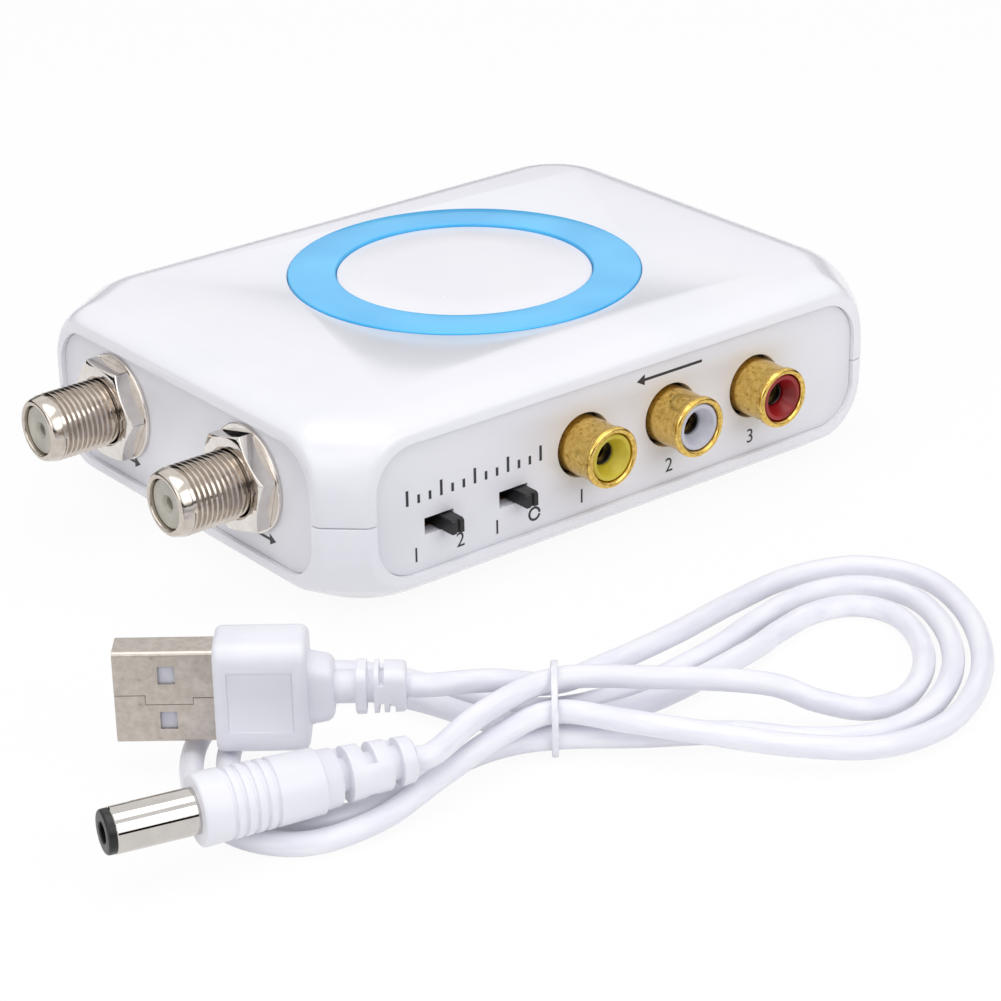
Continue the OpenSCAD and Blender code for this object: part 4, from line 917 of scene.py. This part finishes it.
end_r = relief_r - relief_taper * (relief_l - relief_round) / relief_l
outline += [(relief_r, grip_end), (end_r, dc_total - relief_round), (end_r - relief_round, dc_total),
            (0, dc_total)]
dc_grip = turned("dc_grip", outline, 80)
rib_w, slot_w, slot_in_r, slot_out_r = 1.9, 1.3, 2, 5
slot_count, slot_angle, first_turn = 3, 280, math.radians(50)
for k in range(slot_count):
    z = grip_end + rib_w + k * (rib_w + slot_w)
    tool = turned("slot", [(slot_in_r, z), (slot_out_r, z), (slot_out_r, z + slot_w),
                           (slot_in_r, z + slot_w)], 40, slot_angle)
    cut(dc_grip, placed(tool, Matrix.Rotation(math.pi * k + first_turn, 4, "Z")))
softened(dc_grip, 0.1, 60)
for piece, node in ((dc_barrel, "dc_plug_barrel"), (dc_tip_ring, "dc_plug_tip"),
                    (dc_grip, "dc_overmould")):
    finished(smooth(placed(piece, dc_place), 32), "root", node)
print("power plug:", len(dc_grip.data.polygons), "faces")

# %% [markdown]

# %% [markdown]
# ## Tie
# A covered wire holds the hank. It lies round the strands like a belt, so its outline is a
# hull over the strands' places. The real wire's ends are twisted together where nobody sees
# them, and here it is a plain closed band.

# %% Tie
tie_fit, tie_t, tie_w, hull_steps = 0.45, 0.45, 0.8, 32
strand_places = [(waist_far, waist_low), (waist_far, waist_high), (waist_near, waist_low),
                 (waist_near, waist_high), (waist_mid, waist_top)]


def belt(grow, width):
    """The hull over the strands, some way outside them, with a width along the lead."""
    points = []
    for y, z in strand_places:
        for k in range(hull_steps):
            a = math.tau * k / hull_steps
            r = cord_r + grow
            points += [(x, y + r * math.cos(a), z + r * math.sin(a)) for x in (-width / 2, width / 2)]
    piece = drawn("belt", points)
    opened(piece)
    bpy.ops.mesh.convex_hull(join_triangles=True)
    bpy.ops.object.mode_set(mode="OBJECT")
    return cleaned(piece)


tie = belt(tie_fit + tie_t, tie_w)
cut(tie, belt(tie_fit, 2 * tie_w))
tie.name = tie.data.name = "tie_wire"
bevelled(tie, 0.15, sharp(60), 3)
smooth(placed(tie, lead_frame_m), 40)
finished(tie, "root", "lead_tie")
print("tie:", len(tie.data.polygons), "faces")

# %% [markdown]
# ## Underside and back
# Four rubber feet sit in shallow recesses, four cross-headed screws hold the halves together
# from below, and the power inlet's black body stands behind its round hole at the back.

# %% Underside and back
foot_outline = [(0, 0.18), (1.3, 0.18), (1.55, 0.02), (3.5, 0)] + arc((3.6, 0.4), 0.4, -90, 0, 5)
foot_outline += [(4, 1), (0, 1)]
on_table = shifted((case_at.x, case_at.y, 0))
feet = [placed(turned("foot", foot_outline, 64), on_table @ shifted(place))
        for place in at_corners(foot_x, foot_y)]
rubber_feet = finished(smooth(joined("feet", feet)), "root", "rubber_feet")

screw_outline = [(0, 4.2), (1.5, 4.2), (2.1, 4.4), (2.45, 4.75), (2.6, 5.2), (2.6, 6), (1.3, 6.1),
                 (1.3, 21), (0, 21.6)]
cross_long, cross_half, cross_low, cross_top, next_turn = 1.5, 0.28, 3, 5.1, 0.4
screws = []
for place in at_corners(boss_x, boss_y):
    screw = turned("screw", screw_outline, 40)
    for w, h in ((cross_long, cross_half), (cross_half, cross_long)):
        cut(screw, box("slot", (-w, -h, cross_low), (w, h, cross_top)))
    stopped = Matrix.Rotation(next_turn * len(screws), 4, "Z")
    screws.append(placed(screw, case_frame @ shifted(place) @ stopped))
case_screws = finished(smooth(joined("case_screws", screws), 30), "root", "cover_screws")
jack = finished(from_cad("dc_jack_body", "inlet_block", 0.2), "root", "dc_jack_body")
print("feet and screws:", len(rubber_feet.data.polygons), len(case_screws.data.polygons), "faces")

# %% [markdown]
# ## Marks
# The printing on the case is only hinted at with plain marks: a scale, numbers, a bar, a ring
# and arrows. Ink stands a few hundredths of a millimetre proud, so each mark is a thin slice.

# %% Marks
ink_t, line_w, head_half, head_long = 0.03, 0.4, 0.8, 1.4
figure_h, figure_share = 2.2, 1.35
face_front = Matrix.Translation((case_at.x * mm, front_face, case_at.z * mm)) @ stands
face_end = Matrix.Translation((end_face, case_at.y * mm, case_at.z * mm)) @ stands_at_end
marks = []


def mark(name, outline, place):
    """A flat mark, its outline in millimetres, raised out of its face by the ink's thickness."""
    piece = drawn(name, [(x, y, 0) for x, y in outline], (), [range(len(outline))])
    opened(piece)
    bpy.ops.mesh.extrude_region_move(TRANSFORM_OT_translate={"value": (0, 0, ink_t * mm)})
    bpy.ops.object.mode_set(mode="OBJECT")
    cleaned(piece)
    marks.append(placed(piece, place))


def number(text, place):
    """A plain figure. A typeface's size is more than its figures' height."""
    bpy.ops.object.select_all(action="DESELECT")
    bpy.ops.object.text_add(location=(0, 0, 0))
    piece = bpy.context.object
    piece.data.body = text
    piece.data.size = figure_h * figure_share * mm
    piece.data.extrude = ink_t / 2 * mm
    piece.data.align_x = piece.data.align_y = "CENTER"
    piece.data.resolution_u = 4
    bpy.ops.object.convert(target="MESH")
    marks.append(placed(cleaned(bpy.context.object), place @ shifted((0, 0, ink_t / 2))))


def stroke(name, x, z, width, height):
    """An upright bar on the front."""
    mark(name, [(x, z), (x + width, z), (x + width, z + height), (x, z + height)], face_front)


def arrow(x0, x1, z, face):
    """An arrow from one place to another, with a solid head."""
    neck, mid, top = x1 - math.copysign(head_long, x1 - x0), z + line_w / 2, z + line_w
    mark("arrow", [(x0, z), (neck, z), (neck, mid - head_half), (x1, mid), (neck, mid + head_half),
                   (neck, top), (x0, top)], face)


print("ink stands", ink_t, "mm proud")

# %% [markdown]
# Places count from the middle of the case's lower edge, as one looks at its front or end.

# %% The marks in their places
scale_start, scale_step, scale_low, tick_w, tick_count = -38.9, 1.85, 15.6, 0.42, 13
long_every, short_share = 3, 0.55
for k in range(tick_count):
    tall = figure_h if k % long_every == 0 else figure_h * short_share
    stroke("tick", scale_start + scale_step * k, scale_low, tick_w, tall)
arrow_from, arrow_to, arrow_z, end_arrow_z = 12.2, 0.4, 22, 8.5
arrow(arrow_from, arrow_to, arrow_z, face_front)
figure_z = 8.2
for text, x in (("1", -9.45), ("2", 6.25), ("3", 21.45), ("1", -37.5), ("2", -30.2)):
    number(text, face_front @ shifted((x, figure_z, 0)))
off_x, off_w, off_h = -24.2, 0.3, 2
stroke("off", off_x, figure_z - off_h / 2, off_w, off_h)
on_x, ring_r, ring_hole_r, ring_gap = -17.7, 1.05, 0.7, 12
ring_out, ring_back = (arc((on_x, figure_z), r, 0, 360 - ring_gap, 24) for r in (ring_r, ring_hole_r))
mark("on", ring_out + ring_back[::-1], face_front)
for start, end in ((-13.4, -10), (11.4, 22.8)):
    arrow(start, end, end_arrow_z, face_end)
ink_marks = finished(joined("ink_marks", marks), "root")
print("marks:", len(ink_marks.data.polygons), "faces")

# %% [markdown]
# ## Finishes
# Every finish starts from what the part is really made of. Paint-list colours are written in
# hex and turned into the linear values that a shader works with. Patterns read Object
# coordinates, which are metres here, so a pattern's scale is one over its real size.

# %% Helpers for finishes
def colour(code):
    """A hex colour as linear red, green, blue and alpha."""
    parts = [int(code[k:k + 2], 16) / 255 for k in (1, 3, 5)]
    return (*[p / 12.92 if p <= 0.04045 else ((p + 0.055) / 1.055) ** 2.4 for p in parts], 1)


def add(material, kind, links=None, stops=(), **settings):
    """Adds a node. Each input gets a value, or another node's output to be linked from.

    The stops of a colour ramp are pairs of a position and a hex colour.
    """
    new = material.node_tree.nodes.new("ShaderNode" + kind)
    for name, value in settings.items():
        setattr(new, name, value)
    for _ in stops[2:]:
        new.color_ramp.elements.new(0.5)
    for k, (position, code) in enumerate(stops):
        new.color_ramp.elements[k].position = position
        new.color_ramp.elements[k].color = colour(code)
    for name, value in (links or {}).items():
        if isinstance(value, bpy.types.NodeSocket):
            material.node_tree.links.new(value, new.inputs[name])
        else:
            new.inputs[name].default_value = value
    return new


def per(size):
    """The scale of a pattern whose features are some millimetres large."""
    return 1 / (size * mm)


def started(name, roughness, metallic=0.0):
    """A new material, its surface shader and its Object coordinates."""
    material = bpy.data.materials.new(name)
    material.use_nodes = True
    shader = material.node_tree.nodes["Principled BSDF"]
    shader.inputs["Roughness"].default_value = roughness
    shader.inputs["Metallic"].default_value = metallic
    place = add(material, "TexCoord").outputs["Object"]
    return material, shader, place


def joins(material, shader, base, rough=None, bump=None):
    """Links a finish's nodes to the surface shader's inputs."""
    for node, output, name in ((base, "Color", "Base Color"), (rough, "Result", "Roughness"),
                               (bump, "Normal", "Normal")):
        if node:
            material.node_tree.links.new(node.outputs[output], shader.inputs[name])
    return material


print("finish helpers ready")

# %% [markdown]
# Moulded plastics. The case is glossy ABS: its skin copies the polished mould, with a very
# slight waviness that only shows where a highlight bends, and a trace of violet in its
# white. The same finish, coarser and in other colours, serves the rest: satin polypropylene
# in the phono sockets, soft satin PVC on the plugs, matt rubber that scatters nearly all
# light, brown paper laminate in the switches and the plain paper cover of the tie.

# %% Moulded plastics
smoother, rougher = 0.88, 1.15


def moulded(name, light, dark, roughness, wave_mm, depth_mm, cloud_mm=18):
    """Moulded plastic: two near shades in soft clouds, and a low relief of one size."""
    material, shader, place = started(name, roughness)
    cloud = add(material, "TexNoise", {"Vector": place, "Scale": per(cloud_mm), "Detail": 2.0})
    base = add(material, "ValToRGB", {"Fac": cloud.outputs["Fac"]}, [(0.35, dark), (0.65, light)])
    relief = add(material, "TexNoise", {"Vector": place, "Scale": per(wave_mm), "Detail": 3.0})
    rough = add(material, "MapRange", {"Value": relief.outputs["Fac"], "From Min": 0.3, "From Max": 0.7,
                                       "To Min": roughness * smoother, "To Max": roughness * rougher})
    bump = add(material, "Bump", {"Height": relief.outputs["Fac"], "Strength": 1.0,
                                  "Distance": depth_mm * mm})
    return joins(material, shader, base, rough, bump)


gloss_abs = moulded("gloss_white_abs", "#EEEEF3", "#EBEBF1", 0.17, 9, 0.012)
panel_abs = moulded("panel_white_abs", "#E9E9EE", "#E5E5EB", 0.34, 0.5, 0.002)
disc_abs = moulded("disc_white_abs", "#F0EFF3", "#EDECF2", 0.24, 6, 0.006)
black_abs = moulded("black_moulded_abs", "#151518", "#0E0E10", 0.36, 0.6, 0.006, 4)
yellow_pp = moulded("yellow_polypropylene", "#D3C13A", "#C3AE2E", 0.36, 0.8, 0.006, 3)
white_pp = moulded("white_polypropylene", "#CDCDD6", "#BDBDC8", 0.36, 0.8, 0.006, 3)
red_pp = moulded("red_polypropylene", "#9A1418", "#7F0E12", 0.33, 0.8, 0.006, 3)
ivory_pe = moulded("ivory_polyethylene", "#C4C0B4", "#AFACA2", 0.42, 0.7, 0.006, 3)
brown_phenolic = moulded("brown_phenolic_paper", "#7A5230", "#5F3E22", 0.55, 0.4, 0.012, 2)
plug_pvc = moulded("white_soft_pvc", "#E9E9F0", "#E2E2EA", 0.38, 0.7, 0.004, 10)
tie_paper = moulded("white_paper_tie", "#EDEDF2", "#DFDFE8", 0.6, 0.35, 0.02, 2)
rubber = moulded("grey_rubber", "#55565A", "#47484C", 0.75, 0.3, 0.012, 3)
blue_pvc = moulded("blue_sleeve_pvc", "#27407A", "#1D3365", 0.4, 0.6, 0.006, 4)
print("plastics:", gloss_abs.name, "to", blue_pvc.name)

# %% [markdown]
# The ring is translucent acrylic, tinted blue, over a strip of lamps, which are not lit here.
# Its colour is strong and even, with soft paler patches painted in as the lamps' light
# gathering in it, and a slight painted glow keeps its shade pure.

# %% Tinted acrylic
def acrylic_with_painted_light():
    """A glossy coat over an even blue with painted light: paler patches and a faint glow."""
    material, shader, place = started("blue_acrylic_with_painted_glow", 0.22)
    # The paler patches in the blue are painted light, standing for the lamps' light in the ring.
    cloud = add(material, "TexNoise", {"Vector": place, "Scale": per(14), "Detail": 1.0})
    base = add(material, "ValToRGB", {"Fac": cloud.outputs["Fac"]},
               [(0.35, "#3AAFEA"), (0.65, "#4CBEF4")])
    # The faint glow is painted light: the ring is no lamp here.
    shader.inputs["Emission Color"].default_value = colour("#5FC0F5")
    shader.inputs["Emission Strength"].default_value = 0.06
    shader.inputs["Coat Weight"].default_value = 0.3
    shader.inputs["Coat Roughness"].default_value = 0.05
    return joins(material, shader, base)


blue_acrylic = acrylic_with_painted_light()
print("acrylic:", blue_acrylic.name)

# %% [markdown]
# Plated metals. Nickel is a warm grey mirror, gold a browner one on cheap sockets, where thin
# plating lets tarnish through in small specks. How sharp the mirror is depends on what is
# under the plating: turned brass is polished, folded sheet keeps a fine grain. Zinc on the
# screws is bluish and dull, tin plate paler, and the switches' bare brass dull and stamped.

# %% Plated metals
def plated(name, clean, dull, spot, spot_share, spot_mm, roughness, spread, scratch_mm=0.25,
           depth_mm=0.001):
    """Metal in three shades: clean, dull and tarnished in spots, with a worked surface."""
    material, shader, place = started(name, roughness, 1.0)
    patches = add(material, "TexNoise", {"Vector": place, "Scale": per(spot_mm), "Detail": 6.0,
                                         "Roughness": 0.62})
    stops = [(spot_share, spot), (spot_share + 0.07, dull), (0.66, clean)]
    base = add(material, "ValToRGB", {"Fac": patches.outputs["Fac"]}, stops)
    grain = add(material, "TexNoise", {"Vector": place, "Scale": per(scratch_mm), "Detail": 3.0})
    rough = add(material, "MapRange", {"Value": patches.outputs["Fac"], "From Min": 0.3, "From Max": 0.65,
                                       "To Min": roughness + spread, "To Max": roughness})
    bump = add(material, "Bump", {"Height": grain.outputs["Fac"], "Strength": 1.0,
                                  "Distance": depth_mm * mm})
    return joins(material, shader, base, rough, bump)


turned_nickel = plated("turned_nickel_plate", "#D2CAC2", "#C2B8AE", "#8A7D73", 0.26, 1.4, 0.13, 0.1)
polished_nickel = plated("polished_nickel_plate", "#E2DDD8", "#D6CFC9", "#A89E96", 0.2, 2.2, 0.07, 0.06)
sheet_nickel = plated("rolled_nickel_plate", "#C8C0B8", "#B8AFA6", "#9C9189", 0.28, 0.9, 0.3, 0.1,
                      0.18, 0.003)
# The seam's darker colours are painted shade for the open joint between the sheet's edges.
seam_shade_nickel = plated("nickel_painted_seam_shade", "#8A8179", "#7A7068", "#665D55", 0.3, 0.5, 0.4, 0.1)
mirror_nickel = plated("mirror_nickel_plate", "#CECAC6", "#C3BEB9", "#A8A29C", 0.2, 2.5, 0.04, 0.04)
thin_gold = plated("thin_gold_plate", "#EBCB78", "#D2AC55", "#8C6B33", 0.33, 0.6, 0.15, 0.16)
zinc_steel = plated("zinc_plated_steel", "#B9BCC0", "#A4A7AB", "#7F8286", 0.3, 1.0, 0.34, 0.12)
tin_plate = plated("rolled_tin_plate", "#C6C8CA", "#B4B6B9", "#8F9295", 0.3, 3, 0.28, 0.12, 0.3, 0.003)
dull_brass = plated("stamped_brass", "#C39A5C", "#A98147", "#6A4E26", 0.34, 0.8, 0.38, 0.16)
print("metals:", turned_nickel.name, "to", dull_brass.name)

# %% [markdown]
# The circuit boards are glass fibre laminate under green solder mask. The mask is glossy and
# shows the copper below as slightly paler tracks, drawn here as the edges of large cells.
# The lamps are clear cast resin, drawn as pale glossy blocks, since they are never lit here.
# The printed ink is matt, a little greyer where the print is thin.

# %% Circuit boards, lamps and ink
def circuit_board():
    """Glossy green solder mask, with paler tracks under it."""
    material, shader, place = started("solder_masked_laminate", 0.3)
    track = add(material, "TexVoronoi", {"Vector": place, "Scale": per(5)}, distance="MANHATTAN",
                feature="F2")
    base = add(material, "ValToRGB", {"Fac": track.outputs["Distance"]},
               [(0.45, "#1E5A38"), (0.5, "#2F7A4C"), (0.56, "#1E5A38")])
    return joins(material, shader, base)


def lamp_resin():
    """Pale glossy resin in two near shades."""
    material, shader, place = started("clear_lamp_resin", 0.15)
    cloud = add(material, "TexNoise", {"Vector": place, "Scale": per(1.2)})
    base = add(material, "ValToRGB", {"Fac": cloud.outputs["Fac"]},
               [(0.4, "#D9DCC9"), (0.6, "#E6E8DA")])
    return joins(material, shader, base)


def printed_ink():
    """Matt black, greyer in small patches."""
    material, shader, place = started("black_pad_print_ink", 0.5)
    patches = add(material, "TexNoise", {"Vector": place, "Scale": per(0.3), "Detail": 2.0})
    base = add(material, "ValToRGB", {"Fac": patches.outputs["Fac"]},
               [(0.3, "#34353B"), (0.6, "#222328")])
    return joins(material, shader, base)


board_green, led_clear, black_ink = circuit_board(), lamp_resin(), printed_ink()
print("boards, lamps, ink:", board_green.name, led_clear.name, black_ink.name)

# %% [markdown]
# The cord is extruded soft PVC. The die leaves very faint lines along it, so its pattern
# follows the cord's own map: stretched far along, and fine around. The real lines are too
# fine to show, so six of them go round, each about 8 mm long.

# %% The cord's finish
lines_along, lines_around = 90, 6


def extruded_pvc():
    """Soft white with very faint lines along the cord."""
    material, shader, _ = started("white_extruded_pvc", 0.4)
    around = add(material, "UVMap", uv_map=lead.data.uv_layers[0].name).outputs["UV"]
    flow = add(material, "Mapping", {"Vector": around, "Scale": (lines_along, lines_around, 1)})
    lines = add(material, "TexNoise", {"Vector": flow.outputs["Vector"], "Scale": 1.0, "Detail": 2.0})
    base = add(material, "ValToRGB", {"Fac": lines.outputs["Fac"]},
               [(0.35, "#E6E6F0"), (0.65, "#F0F0F6")])
    bump = add(material, "Bump", {"Height": lines.outputs["Fac"], "Strength": 1.0, "Distance": 0.01 * mm})
    return joins(material, shader, base, bump=bump)


cord_pvc = extruded_pvc()
print("cord:", cord_pvc.name)

# %% [markdown]
# Each piece gets its finish.
# The pieces inside the case are the CAD nodes as they are: they only need their finishes.

# %% Finishes on the pieces
def dressed(material, slot, *pieces):
    """Gives pieces, or CAD nodes named by a word, one finish. The slot is not used."""
    for piece in pieces:
        if isinstance(piece, str):
            piece = nodes[piece]
        piece.data.materials.clear()
        piece.data.materials.append(material)


def parts_of(kind):
    """The same piece of both aerial sockets."""
    return [made[kind] for made in sockets]


phono_shells, _, throats = zip(*phono.values())
dressed(gloss_abs, "white_gloss", top_cover, bottom_case)
dressed(panel_abs, "white_panel", front_panel, end_panel)
dressed(blue_acrylic, "blue_lens", light_ring)
dressed(disc_abs, "disc_white", centre_disc)
dressed(board_green, "board_green", "light_board", "main_board")
dressed(led_clear, "led_clear", "ring_leds")
dressed(zinc_steel, "zinc_steel", case_screws, "light_board_screws", "board_screws")
dressed(black_abs, "black_plastic", *levers, *throats, jack, dc_tip_ring, "light_header",
        "modulator_chip", "regulator", "rca_block")
dressed(tin_plate, "tin_plate", "rf_can", "rf_can_lid", "tuning_coil")
dressed(turned_nickel, "nickel", *parts_of("barrel"), "crystal", "dc_jack_pin")
dressed(polished_nickel, "nickel", *parts_of("nut"), *parts_of("washer"))
dressed(sheet_nickel, "nickel", usb_shell)
# The seam strips take the darker nickel, which is painted shade for the joint.
dressed(seam_shade_nickel, "nickel", usb_seam)
dressed(mirror_nickel, "nickel", dc_barrel)
dressed(blue_pvc, "blue_sleeve", "capacitors")
dressed(ivory_pe, "ivory_plastic", *parts_of("insulator"))
dressed(thin_gold, "gold_plate", *parts_of("clip"), *phono_shells, usb_contacts, "rca_contacts")
dressed(yellow_pp, "yellow_plastic", phono["video"][1])
dressed(white_pp, "white_plastic", phono["left"][1], usb_tongue)
dressed(red_pp, "red_plastic", phono["right"][1])
dressed(dull_brass, "switch_brass", *frames)
dressed(brown_phenolic, "brown_plastic", "channel_switch_base", "power_switch_base")
dressed(rubber, "rubber_grey", rubber_feet)
dressed(plug_pvc, "lead_white", usb_grip, dc_grip)
dressed(cord_pvc, "lead_white", lead)
dressed(tie_paper, "lead_white", tie)
dressed(black_ink, "white_panel", ink_marks)
print("finishes:", len(bpy.data.materials))

# %% [markdown]
# ## Floor and light
# The photograph is a cut-out on white. The floor and the room show themselves white to the
# camera and to mirrors, where a small share of the floor stays matt and carries a faint
# shadow. To all other light it is plain matt paper. It lies a hair below the feet, so that
# the two don't flicker.

# %% Floor
floor_size, just_below, self_lit_share = 6, -0.00002, 0.93
bpy.ops.object.select_all(action="DESELECT")
bpy.ops.mesh.primitive_plane_add(size=floor_size, location=(0, 0, just_below))
floor = bpy.context.object
floor.name = "floor"


def emptied(owner):
    """Clears the shader nodes of a material or a world, to build others."""
    owner.use_nodes = True
    owner.node_tree.nodes.clear()
    return owner


def seen_directly(material):
    """1 for rays from the camera, or by way of a mirror or glass, and 0 for the rest."""
    rays = add(material, "LightPath").outputs
    seen = add(material, "Math", {0: rays["Is Camera Ray"], 1: rays["Is Glossy Ray"]}, operation="ADD")
    return add(material, "Math", {0: seen.outputs[0], 1: rays["Is Transmission Ray"]}, operation="ADD",
               use_clamp=True).outputs[0]


paper = emptied(bpy.data.materials.new("white_paper_sweep"))
matt = add(paper, "BsdfDiffuse", {"Color": colour("#F4F4F4")})
white = add(paper, "Emission", {"Color": colour("#FFFFFF"), "Strength": 1.0})
share = add(paper, "Math", {0: seen_directly(paper), 1: self_lit_share}, operation="MULTIPLY")
blend = add(paper, "MixShader", {0: share.outputs[0], 1: matt.outputs[0], 2: white.outputs[0]})
add(paper, "OutputMaterial", {"Surface": blend.outputs[0]})
floor.data.materials.append(paper)
print("floor:", floor_size, "m of", paper.name)

# %% [markdown]
# The light that falls on the object comes from a sky that is bright above and dark near the
# horizon, so that the lid is lit more than the sides. The camera and the mirrors see a plain
# white room instead of it.

# %% Sky and room
sky_strength = 0.74
world = emptied(bpy.data.worlds.new("studio"))
bpy.context.scene.world = world
way = add(world, "TexCoord").outputs["Generated"]
height = add(world, "SeparateXYZ", {0: way}).outputs["Z"]
sky = add(world, "ValToRGB", {"Fac": height},
          [(0.0, "#1C1C1F"), (0.2, "#303034"), (0.36, "#DCDCE0"), (0.75, "#F6F6F8")])
light = add(world, "Background", {"Color": sky.outputs["Color"], "Strength": sky_strength})
room = add(world, "Background", {"Color": colour("#FFFFFF"), "Strength": 1.0})
mixed = add(world, "MixShader", {0: seen_directly(world), 1: light.outputs[0], 2: room.outputs[0]})
add(world, "OutputWorld", {"Surface": mixed.outputs[0]})
print("sky strength:", sky_strength)

# %% [markdown]
# A photographer of shiny metal stands black cloth round the table, so that its curves show
# dark lines. This ring of cloth is seen in mirrors only, and takes no light from the object.

# %% Black cloth
cloth_radius, cloth_height, cloth_lift = 1.5, 0.42, 0.01
bpy.ops.object.select_all(action="DESELECT")
bpy.ops.mesh.primitive_cylinder_add(vertices=64, radius=cloth_radius, depth=cloth_height,
                                    end_fill_type="NOTHING",
                                    location=(0, 0, cloth_height / 2 + cloth_lift))
cloth = bpy.context.object
cloth.name = "black_cloth"
velvet = emptied(bpy.data.materials.new("black_velvet"))
nap = add(velvet, "BsdfDiffuse", {"Color": colour("#1E1E21")})
add(velvet, "OutputMaterial", {"Surface": nap.outputs[0]})
cloth.data.materials.append(velvet)
cloth.visible_camera = cloth.visible_diffuse = False
cloth.visible_transmission = cloth.visible_shadow = False
print("cloth:", cloth_height, "m high")

# %% [markdown]
# Three large soft lamps add shape: one above, one in front and one at the left, all aimed a
# little below the middle of the case. Their light is white, and their power is in watts.

# %% Lamps
lamp_size, aimed_at = 0.5, Vector((0, 0, 0.01))
lamps = {"key": ((-0.1, -0.05, 0.62), 1.3), "front_fill": ((0.1, -0.6, 0.35), 1.3),
         "left_fill": ((-0.6, -0.2, 0.25), 0.9)}
for name, (place, watts) in lamps.items():
    data = bpy.data.lights.new(name, "AREA")
    data.size, data.energy = lamp_size, watts
    lamp = bpy.data.objects.new(name, data)
    bpy.context.scene.collection.objects.link(lamp)
    aim = (aimed_at - Vector(place)).to_track_quat("-Z", "Y")
    lamp.matrix_world = Matrix.Translation(place) @ aim.to_matrix().to_4x4()
bpy.context.scene.view_settings.view_transform = "Standard"
print("lit by", len(bpy.data.lights), "lamps")
